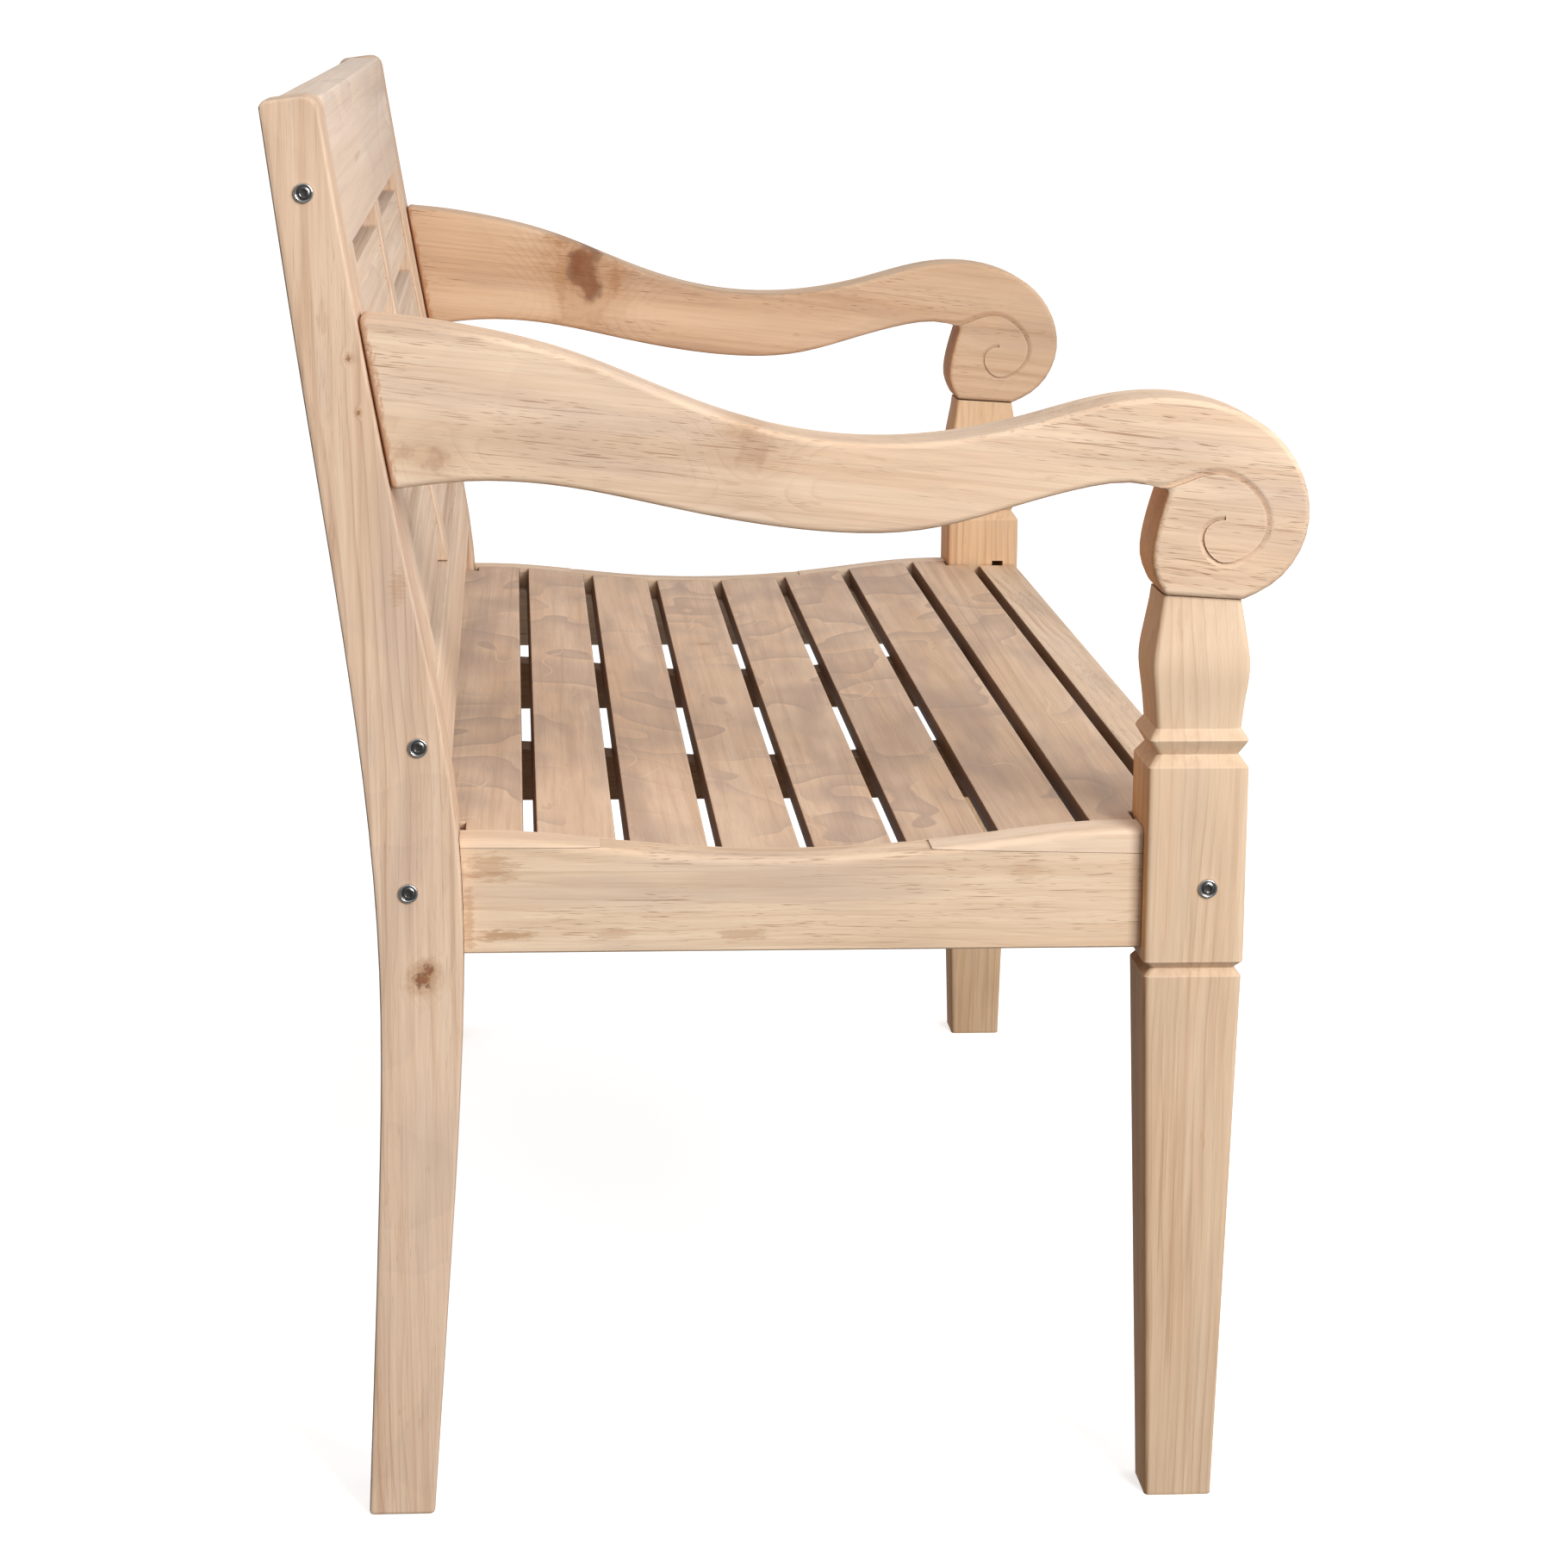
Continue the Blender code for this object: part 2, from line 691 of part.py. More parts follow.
def back_outline(low, high, recess, thick, grooves=()):
    """A section that follows the front of the rear legs, set back by recess, with V grooves in front."""
    heights = list(np.linspace(low, high, 5 if high - low > TALL_PIECE else 3))
    front = [(leg_front(z) + recess, z) for z in heights]
    for z in grooves:
        for offset, depth in ((-0.5, 0.0), (0.0, GROOVE_DEPTH), (0.5, 0.0)):
            at = z + offset * GROOVE_WIDTH
            front.append((leg_front(at) + recess + depth, at))
    front.sort(key=lambda point: point[1])
    back = [(leg_front(z) + recess + thick, z) for z in reversed(heights)]
    return front + back


def back_piece(name, limits, low_x, high_x, recess, thick, grooves=()):
    outline = back_outline(limits[0], limits[1], recess, thick, grooves)
    return side_profile(name, outline, low_x, high_x)


def back_rail(name, limits):
    end = LEG_INNER - GAP
    rail = back_piece(name, limits, -end, end, 0.0, RAIL_THICK)
    return keep(round_edges(rail, SLAT_ARRIS), TEAK)


def back_bar(name, low_x, high_x):
    limits = (LOWER_RAIL[1] + GAP, TOP_RAIL[0] - GAP)
    bar = back_piece(name, limits, low_x, high_x, BAR_RECESS, BAR_THICK)
    return keep(round_edges(bar, BOARD_ARRIS), TEAK)


def back_board(name, row, low_x, high_x):
    limits, grooves = BOARDS[row]
    board = back_piece(name, limits, low_x + GAP, high_x - GAP, BOARD_RECESS, BOARD_THICK, grooves)
    return keep(round_edges(board, BOARD_ARRIS, 2, 60), TEAK)


def board_tenon(board, bar, row, edge_x, outward):
    """The tongue at one end of a board, in the side of the bar next to it."""
    (low, high), _ = BOARDS[row]
    recess = BOARD_RECESS + (BOARD_THICK - BOARD_TENON_THICK) / 2

    def shape(grow):
        limits = (low + SHOULDER - grow, high - SHOULDER + grow)
        low_x, high_x = sorted((edge_x - outward * ROOT, edge_x + outward * (BOARD_TENON_LONG + grow)))
        thick = BOARD_TENON_THICK + 2 * grow
        return back_piece(f"{board.name}_tongue", limits, low_x, high_x, recess - grow, thick)

    tenon(board, bar, shape)


def bar_tenon(bar, rail, low_x, high_x, edge_z, upward):
    """The tongue at the top or the foot of a bar, in the edge of the rail there."""
    recess = BAR_RECESS + (BAR_THICK - TENON_THICK) / 2

    def shape(grow):
        limits = sorted((edge_z - upward * ROOT, edge_z + upward * (BOARD_TENON_LONG + grow)))
        across = (low_x + SHOULDER - grow, high_x - SHOULDER + grow)
        thick = TENON_THICK + 2 * grow
        return back_piece(f"{bar.name}_tongue", limits, *across, recess - grow, thick)

    tenon(bar, rail, shape)


def back_rail_tenon(rail, leg, side, limits):
    """The tenon at one end of a back rail, in the rear leg."""
    recess = (RAIL_THICK - TENON_THICK) / 2

    def shape(grow):
        heights = (limits[0] + SHOULDER - grow, limits[1] - 2 * SHOULDER + grow)
        across = sorted((side * (LEG_INNER - ROOT), side * (LEG_INNER + TENON_LONG + grow)))
        thick = TENON_THICK + 2 * grow
        return back_piece(f"{rail.name}_tenon", heights, *across, recess - grow, thick)

    tenon(rail, leg, shape)


# Fixings


def turned_about_x(name, profile, x, y, z, outward):
    """A turned piece on an axis along X, from (radius, height) points that run down its outer side."""
    mesh = bpy.data.meshes.new(name)
    points = [(radius, 0.0, height) for radius, height in profile]
    mesh.from_pydata(points, [(i, i + 1) for i in range(len(points) - 1)], [])
    obj = bpy.data.objects.new(name, mesh)
    screw = obj.modifiers.new("turn", "SCREW")
    screw.axis = "Z"
    screw.steps = ROUND_SIDES
    screw.render_steps = ROUND_SIDES
    screw.use_merge_vertices = True
    screw.merge_threshold = 0.00001
    obj.matrix_world = Matrix.Translation((x, y, z)) @ Matrix.Rotation(math.radians(90 * outward), 4, "Y")
    return obj


def cup_washer(name, side, y, z):
    """A raised ring on the leg's face, open in the middle for the bolt's head."""
    wall = WASHER_RADIUS - HEAD_RADIUS - 2 * GAP
    rim = WASHER_RADIUS - wall
    profile = [
        (SHANK_RADIUS + GAP, WASHER_FLOOR),
        (rim, WASHER_FLOOR),
        (rim, WASHER_HIGH - wall / 3),
        (rim + wall / 3, WASHER_HIGH),
        (WASHER_RADIUS - wall / 3, WASHER_HIGH),
        (WASHER_RADIUS, WASHER_HIGH - wall / 2),
        (WASHER_RADIUS, 0.0),
        (SHANK_RADIUS + GAP, 0.0),
        (SHANK_RADIUS + GAP, WASHER_FLOOR),
    ]
    washer = turned_about_x(name, profile, side * (HALF_LENGTH + GAP), y, z, side)
    return keep(washer, CHROME, 0.25, 1.0)


def bolt(name, side, y, z):
    """A socket bolt, its head in the washer's cup and its shank through the leg into the rail."""
    seat = WASHER_FLOOR + GAP
    chamfer = 0.0004
    profile = [
        (0.0, HEAD_HIGH),
        (HEAD_RADIUS - chamfer, HEAD_HIGH),
        (HEAD_RADIUS, HEAD_HIGH - chamfer),
        (HEAD_RADIUS, seat),
        (SHANK_RADIUS, seat),
        (SHANK_RADIUS, -SHANK_LONG),
        (0.0, -SHANK_LONG),
    ]
    piece = turned_about_x(name, profile, side * (HALF_LENGTH + GAP), y, z, side)
    top = side * (HALF_LENGTH + GAP + HEAD_HIGH)
    hexagon = cylinder(
        name + "_socket",
        SOCKET_RADIUS,
        (top + side * SOCKET_DEPTH, y, z),
        (top - side * SOCKET_DEPTH, y, z),
        6,
    )
    boolean(piece, as_cutter(hexagon), "DIFFERENCE")
    return keep(piece, CHROME, 0.2, 1.0)


def bore(name, side, y, z):
    """The cutter for a bolt's hole, from outside the leg to past the shank's end."""
    start = (side * (HALF_LENGTH + 0.01), y, z)
    end = (side * (HALF_LENGTH - SHANK_LONG - 0.004), y, z)
    return as_cutter(cylinder(name + "_bore", BORE_RADIUS, start, end))


# Assembly


def build_back():
    """Both back rails, the upright bars and the boards between them."""
    rails = {
        "top_rail": back_rail("top_rail", TOP_RAIL),
        "lower_back_rail": back_rail("lower_back_rail", LOWER_RAIL),
    }
    uprights = {
        "left": (END_BAR[0], END_BAR[1]),
        "middle": (-MIDDLE_BAR_HALF, MIDDLE_BAR_HALF),
        "right": (-END_BAR[1], -END_BAR[0]),
    }
    bars = {}
    for place, (low_x, high_x) in uprights.items():
        bar = back_bar(f"back_bar_{place}", low_x, high_x)
        bar_tenon(bar, rails["top_rail"], low_x, high_x, TOP_RAIL[0], 1)
        bar_tenon(bar, rails["lower_back_rail"], low_x, high_x, LOWER_RAIL[1], -1)
        bars[place] = bar
    for side, bay in ((1, "left"), (-1, "right")):
        inner_x, outer_x = side * MIDDLE_BAR_HALF, side * END_BAR[0]
        for row in BOARDS:
            board = back_board(f"back_board_{row}_{bay}", row, *sorted((inner_x, outer_x)))
            board_tenon(board, bars["middle"], row, inner_x, -side)
            board_tenon(board, bars[bay], row, outer_x, side)
    return rails


def build_seat():
    """The two long rails, the bearers and the slats."""
    rails = {
        "front_seat_rail": straight_rail("front_seat_rail", FRONT_RAIL),
        "rear_seat_rail": straight_rail("rear_seat_rail", REAR_RAIL),
    }
    for index in range(SLAT_COUNT):
        seat_slat(index)
    for side, end in ((1, "left"), (-1, "right")):
        bearer(side * BEARER_X, f"seat_bearer_{end}")
    return rails


def long_rail_tenon(rail, leg, side, section):
    (front, rear), (low, high) = section
    middle = (front + rear) / 2
    near = LEG_INNER - ROOT
    far = LEG_INNER + TENON_LONG
    low_x, high_x = sorted((side * near, side * far))
    half = TENON_THICK / 2
    box_tenon(rail, leg, (low_x, middle - half, low + SHOULDER), (high_x, middle + half, high - SHOULDER))


def side_rail_tenons(rail, leg, post, side):
    """The tenons of a side rail, in the front post and the rear leg."""
    middle = side * (SIDE_RAIL_INNER + SIDE_RAIL_THICK / 2)
    half = TENON_THICK / 2
    low, high = SIDE_RAIL_LOW + SHOULDER, SIDE_RAIL_TENON_HIGH
    reach = SIDE_RAIL_TENON_LONG
    front = POST_Y + POST_HALF
    rear = leg_front((low + high) / 2)
    box_tenon(rail, post, (middle - half, front - reach, low), (middle + half, front + ROOT, high))
    box_tenon(rail, leg, (middle - half, rear - ROOT, low), (middle + half, rear + reach, high))


def arm_tenons(piece, leg, post, side):
    """The arm's tenon in the rear leg, and the post's in the arm."""
    middle = side * (ARM_INNER + ARM_OUTER) / 2
    half = ARM_TENON_THICK / 2
    low, high = ARM_TENON
    reach = ARM_TENON_LONG
    rear = leg_front(high)
    box_tenon(piece, leg, (middle - half, rear - 2 * reach, low), (middle + half, rear + reach, high))
    top = SWELL_POINTS[-1][1]
    box_tenon(
        post,
        piece,
        (middle - half, POST_Y - half, top - ROOT),
        (middle + half, POST_Y + half, top + POST_TENON_LONG),
    )


def open_mortise(post, side):
    """The stretch of the front rail's mortise that stays open above the rail."""
    (front, rear), (_, rail_top) = FRONT_RAIL
    middle = (front + rear) / 2
    half = TENON_THICK / 2
    low_x, high_x = sorted((side * (LEG_INNER - ROOT), side * (LEG_INNER + TENON_LONG)))
    low = (low_x, middle - half, rail_top - 2 * SHOULDER)
    cutter = box(f"{post.name}_open_mortise", low, (high_x, middle + half, OPEN_MORTISE_TOP))
    boolean(post, as_cutter(cutter), "DIFFERENCE")


def build_end(side, end, seat_rails, back_rails):
    """One end of the bench: rear leg, front post, arm, side rail and the joints to the long rails."""
    leg = rear_leg(side, f"rear_leg_{end}")
    post = front_post(side, f"front_post_{end}")
    arm_piece = arm(side, f"arm_{end}")
    rail = side_rail(side, f"side_rail_{end}")
    rail_lip(side, f"rail_lip_front_{end}", POST_Y + POST_HALF + GAP)
    rail_lip(side, f"rail_lip_rear_{end}", leg_front(DISH_POINTS[-1][1]) - GAP)
    cleat(side, f"seat_cleat_{end}")
    side_rail_tenons(rail, leg, post, side)
    arm_tenons(arm_piece, leg, post, side)
    long_rail_tenon(seat_rails["rear_seat_rail"], leg, side, REAR_RAIL)
    long_rail_tenon(seat_rails["front_seat_rail"], post, side, FRONT_RAIL)
    open_mortise(post, side)
    back_rail_tenon(back_rails["top_rail"], leg, side, TOP_RAIL)
    back_rail_tenon(back_rails["lower_back_rail"], leg, side, LOWER_RAIL)
    for place, (y, z) in BOLTS.items():
        cup_washer(f"washer_{place}_{end}", side, y, z)
        bolt(f"bolt_{place}_{end}", side, y, z)
        hole = bore(f"{place}_{end}", side, y, z)
        boolean(post if place == "front_seat_rail" else leg, hole, "DIFFERENCE")
        boolean({**seat_rails, **back_rails}[place], hole, "DIFFERENCE")


def build_bench():
    back_rails = build_back()
    seat_rails = build_seat()
    for side, end in ((1, "left"), (-1, "right")):
        build_end(side, end, seat_rails, back_rails)


build_bench()
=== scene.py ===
"""Looks of the garden bench: pale weathered teak with its knots and stains, and bright steel bolts.

X runs along the bench, +Y points to its back and +Z up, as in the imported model. Each wooden node
is replaced by its own welded, smoothly shaded copy, and each bolt and washer by a finer turned piece.
"""

import json
import math
import re

import bmesh
import bpy
from mathutils import Matrix, Vector


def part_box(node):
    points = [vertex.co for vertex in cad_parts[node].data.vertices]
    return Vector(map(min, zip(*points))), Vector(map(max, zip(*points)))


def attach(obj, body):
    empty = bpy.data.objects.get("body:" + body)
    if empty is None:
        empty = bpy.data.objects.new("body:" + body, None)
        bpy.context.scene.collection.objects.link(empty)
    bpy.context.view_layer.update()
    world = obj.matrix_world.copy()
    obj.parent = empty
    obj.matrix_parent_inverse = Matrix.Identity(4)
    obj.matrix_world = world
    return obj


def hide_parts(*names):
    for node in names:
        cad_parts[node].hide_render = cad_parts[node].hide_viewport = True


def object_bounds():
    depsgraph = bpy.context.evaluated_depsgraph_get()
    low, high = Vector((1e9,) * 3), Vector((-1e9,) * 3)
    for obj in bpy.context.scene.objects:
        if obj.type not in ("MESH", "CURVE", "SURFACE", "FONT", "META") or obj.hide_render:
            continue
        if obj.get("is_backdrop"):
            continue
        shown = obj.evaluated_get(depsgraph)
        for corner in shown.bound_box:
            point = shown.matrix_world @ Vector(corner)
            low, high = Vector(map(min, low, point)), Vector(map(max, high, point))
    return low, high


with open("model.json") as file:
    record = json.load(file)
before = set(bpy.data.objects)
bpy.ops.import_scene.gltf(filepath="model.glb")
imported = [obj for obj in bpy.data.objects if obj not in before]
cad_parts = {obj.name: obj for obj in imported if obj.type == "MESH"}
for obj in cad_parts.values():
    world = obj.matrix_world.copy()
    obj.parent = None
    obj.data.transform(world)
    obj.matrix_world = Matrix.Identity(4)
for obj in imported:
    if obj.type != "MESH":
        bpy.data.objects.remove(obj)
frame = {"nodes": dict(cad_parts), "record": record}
CAD_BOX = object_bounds()
SLOT_OF = {part["node"]: part["material_slot"] for part in frame["record"]["subparts"]}

# Camera: its place in metres and its turns in degrees
CAMERA_PLACE = (-2.9632, 0.1721, 0.9720)
CAMERA_LENS = 89.2
CAMERA_DOWN = 11.746
CAMERA_YAW = -4.056
CAMERA_ROLL = 0.464

# How strongly the studio's surround and floor glow
SURROUND_LOW = 0.15
SURROUND_BACKDROP = 1.10
SURROUND_SKY = 0.58
SURROUND_FRONT = 0.12
FLOOR_GLOW = 0.62
FLOOR_SIZE = 80.0

# Lamps: place, the point they shine at, width and height, and power in watts
LAMPS = {
    "key": ((-3.2, -1.5, 1.9), (0.0, 0.0, 0.45), (1.5, 1.5), 105.0),
    "front": ((0.4, -3.2, 1.6), (0.0, 0.1, 0.6), (2.4, 1.6), 14.0),
}

# Meshes
SHARP_ANGLE = math.radians(35)
FLAT_ANGLE = math.radians(0.2)
WELD_DISTANCE = 0.000005
TURNED_SIDES = 60
CROWN_STEPS = 7

# Washers and bolts, as shares of their own radius and thickness, and in metres
WASHER_INNER = 0.72
WASHER_BORE = 0.55
WASHER_FLOOR = 0.70
WASHER_SHOULDER = 0.45
SOCKET_SHARE = 0.50
SOCKET_CHAMFER = 1.22
SHANK_SHARE = 0.70
SOCKET_DEPTH = 0.0019
SOCKET_POINT = 0.0021
HEAD_THICK = 0.0010


def shade(red, green, blue):
    """A colour given as 0 to 255 display values, in linear light."""
    values = [level / 255 for level in (red, green, blue)]
    return tuple(v / 12.92 if v <= 0.04045 else ((v + 0.055) / 1.055) ** 2.4 for v in values)


# Colours of teak, from bare wood to the darkest knot
CREAM = shade(247, 222, 196)
PEACH = shade(233, 203, 173)
TAN = shade(214, 178, 146)
ROSE_GREY = shade(190, 166, 152)
LINE = shade(172, 126, 92)
PORE = shade(150, 98, 60)
STAIN = shade(186, 140, 98)
CHIP = shade(202, 146, 104)
KNOT = shade(148, 98, 66)
KNOT_EDGE = shade(92, 62, 46)

# What is left of a piece's colour under painted shade: in creases and joints that ambient occlusion
# finds, and on slat edges and rear faces turned away from the light
CREASE_SHADE = (0.42, 0.32, 0.25)
SLAT_EDGE_SHADE = (0.36, 0.25, 0.17)
REAR_FACE_SHADE = (1.0, 0.75, 0.50)

# Steel
RING_STEEL = (0.66, 0.67, 0.68)
BOLT_STEEL = (0.22, 0.21, 0.20)

# Figure of teak, in metres and degrees
RING_SPACING = 0.0065
RING_WANDER = 0.036
# how far the painted crease shade looks for nearby surfaces
CREASE_SHADE_REACH = 0.005
# width of the paler arrises, which are partly wear and partly painted highlight
EDGE_WEAR_AND_HIGHLIGHT_RADIUS = 0.0022
FIBRE_RELIEF = 0.0005
ARM_LEAN = 6.0  # how far the grain of an arm falls towards the front
ARM_END_SLOPE = 0.1902  # the rear end of an arm: y = slope * z + start
ARM_END_START = 0.1195
PALER_FROM = 0.44  # heights between which a front post turns paler
PALER_TO = 0.53
GRAIN_LEAN = (0.6, 0.9)  # the most that other grain leans upwards and sideways
SEED_STEPS = (1.37, 0.61, 0.43)  # how far apart two pieces lie in the tree

# Each kind of piece: the axis of its grain, where its pith lies from its middle in grain
# coordinates, and how strong each part of its figure is
FIGURE = ("Streaks", "Lines", "Rings", "Flame", "Pores", "Grey")
KINDS = {
    "arm": ("y", (0.0, 0.050, -0.012), (0.36, 0.22, 0.22, 0.10, 1.05, 0.36)),
    "rear_leg": ("z", (0.0, 0.030, 0.060), (0.55, 0.34, 0.36, 0.12, 0.35, 0.36)),
    "front_post": ("z", (0.0, 0.090, 0.020), (0.50, 0.40, 0.46, 0.0, 0.15, 0.25)),
    "side_rail": ("y", (0.0, 0.060, 0.040), (0.45, 0.30, 0.16, 0.0, 1.0, 0.42)),
    "rail_lip": ("y", (0.0, 0.090, 0.040), (0.30, 0.10, 0.10, 0.0, 0.4, 0.10)),
    "seat_slat": ("x", (0.0, 0.010, -0.050), (0.50, 0.18, 0.10, 0.75, 0.15, 0.60)),
    "seat_bearer": ("y", (0.0, 0.050, 0.0), (0.6, 0.3, 0.3, 0.0, 0.8, 0.5)),
    "seat_cleat": ("y", (0.0, 0.050, 0.0), (0.6, 0.3, 0.3, 0.0, 0.8, 0.5)),
    "top_rail": ("x", (0.0, -0.070, 0.0), (0.35, 0.05, 0.05, 0.25, 0.10, 0.25)),
    "back_board": ("x", (0.0, -0.060, 0.0), (0.55, 0.20, 0.25, 0.30, 0.50, 0.45)),
    "lower_back": ("x", (0.0, -0.060, 0.0), (0.6, 0.25, 0.25, 0.20, 0.60, 0.45)),
    "back_bar": ("z", (0.0, 0.060, 0.030), (0.6, 0.40, 0.25, 0.0, 0.60, 0.35)),
    "front_seat": ("x", (0.0, -0.060, 0.02), (0.6, 0.30, 0.40, 0.1, 0.90, 0.35)),
    "rear_seat": ("x", (0.0, -0.060, 0.02), (0.6, 0.30, 0.40, 0.1, 0.90, 0.45)),
}
# kinds whose rear faces, or slat edges, get painted shade where they face away from the light
REAR_SHADED_KINDS = ("front_post", "arm", "seat_slat", "front_seat")
LONG_FIGURE = ("top_rail", "back_board", "lower_back")  # kinds whose figure is drawn out along the grain
FIGURE_DRAWN_OUT = 0.3
GRAIN_TURNS = {"x": (0.0, 0.0, 0.0), "y": (0.0, 0.0, -90.0), "z": (0.0, 90.0, 0.0)}
WHITE = (1.0, 1.0, 1.0)

# How much darker, browner or paler than the rest each kind of piece, or a single piece, is made: mostly
# its weathered tone, but painted shade for the far arm, the far front post and the seat bearers
TINTS_AND_PAINTED_SHADE = {
    "arm": (0.99, 0.96, 0.93),
    # painted shade: the far arm is darkened for the light it gets less of
    "arm_left": (0.87, 0.79, 0.71),
    "back_board": (1.03, 1.06, 1.10),
    "front_post": (0.90, 0.86, 0.80),
    # painted shade: the far front post is darkened as if in the seat's shadow
    "front_post_left": (0.92, 0.82, 0.68),
    "front_seat": (0.93, 0.90, 0.87),
    "rear_leg": (0.95, 0.90, 0.87),
    # painted shade: the bearers, seen only through the slat gaps, are darkened for the shade under the
    # seat
    "seat_bearer": (0.46, 0.34, 0.25),
    "seat_slat": (0.88, 0.82, 0.77),
    "side_rail": (0.96, 0.94, 0.90),
    "top_rail": (1.0, 1.03, 1.10),
}

# Knots and brown stains: where their middles lie from the middle of their piece, their half sizes
# along X, Y and Z, and their strength
THROUGH = math.inf  # the half size of a mark that goes right through its piece
KNOTS = {
    "arm_right": (
        ((0.0, 0.2412, 0.0022), (THROUGH, 0.0070, 0.0070), 0.42),
        ((0.0, 0.2594, 0.0058), (THROUGH, 0.0060, 0.0040), 0.32),
        ((0.0, 0.0482, 0.0092), (THROUGH, 0.0110, 0.0120), 0.36),
    ),
    "arm_left": (((0.0, 0.1282, 0.0312), (THROUGH, 0.0160, 0.0250), 0.9),),
    "rear_leg_right": (
        ((0.0, -0.0330, -0.0947), (THROUGH, 0.0050, 0.0046), 1.0),
        ((0.0, -0.0368, -0.0881), (THROUGH, 0.0030, 0.0034), 0.9),
        ((0.0, 0.0016, 0.2608), (THROUGH, 0.0012, 0.0014), 0.8),
        ((0.0, 0.0073, 0.2937), (THROUGH, 0.0014, 0.0016), 0.8),
    ),
    "rear_leg_left": (((0.0, -0.0083, 0.1899), (THROUGH, 0.0060, 0.0070), 0.7),),
    "seat_slat_4": (((0.2100, -0.0008, 0.0093), (0.0050, 0.0050, 0.0050), 0.5),),
    "top_rail": (((0.3300, 0.0026, 0.0182), (0.0060, 0.0060, 0.0060), 0.5),),
}
STAINS = {
    "side_rail_right": (
        ((0.0, 0.1899, -0.0223), (THROUGH, 0.0150, 0.0036), 0.65),
        ((0.0, 0.1229, -0.0228), (THROUGH, 0.0120, 0.0042), 0.3),
        ((0.0, 0.0389, -0.0233), (THROUGH, 0.0130, 0.0040), 0.42),
        ((0.0, 0.1959, 0.0212), (THROUGH, 0.0130, 0.0080), 0.45),
        ((0.0, 0.2109, -0.0128), (THROUGH, 0.0030, 0.0200), 0.45),
        ((0.0, -0.1401, 0.0172), (THROUGH, 0.0120, 0.0060), 0.25),
    ),
    "rear_leg_right": (((0.0, -0.0208, 0.1534), (THROUGH, 0.0040, 0.0100), 0.35),),
    "arm_right": (((0.0, 0.0552, 0.0192), (THROUGH, 0.0120, 0.0060), 0.25),),
    "arm_left": (
        ((0.0, 0.1442, 0.0592), (THROUGH, 0.0180, 0.0045), 0.6),
        ((0.0, 0.1012, 0.0232), (THROUGH, 0.0040, 0.0140), 0.5),
        ((0.0, 0.1492, 0.0232), (THROUGH, 0.0050, 0.0200), 0.35),
    ),
}


def make_camera():
    data = bpy.data.cameras.new("camera")
    data.lens = CAMERA_LENS
    data.sensor_width = 36.0
    camera = bpy.data.objects.new("camera", data)
    turn = Matrix.Rotation(math.radians(CAMERA_YAW - 90), 4, "Z")
    tilt = Matrix.Rotation(math.radians(90 - CAMERA_DOWN), 4, "X")
    roll = Matrix.Rotation(math.radians(CAMERA_ROLL), 4, "Z")
    camera.matrix_world = Matrix.Translation(CAMERA_PLACE) @ turn @ tilt @ roll
    bpy.context.scene.collection.objects.link(camera)
    bpy.context.scene.camera = camera


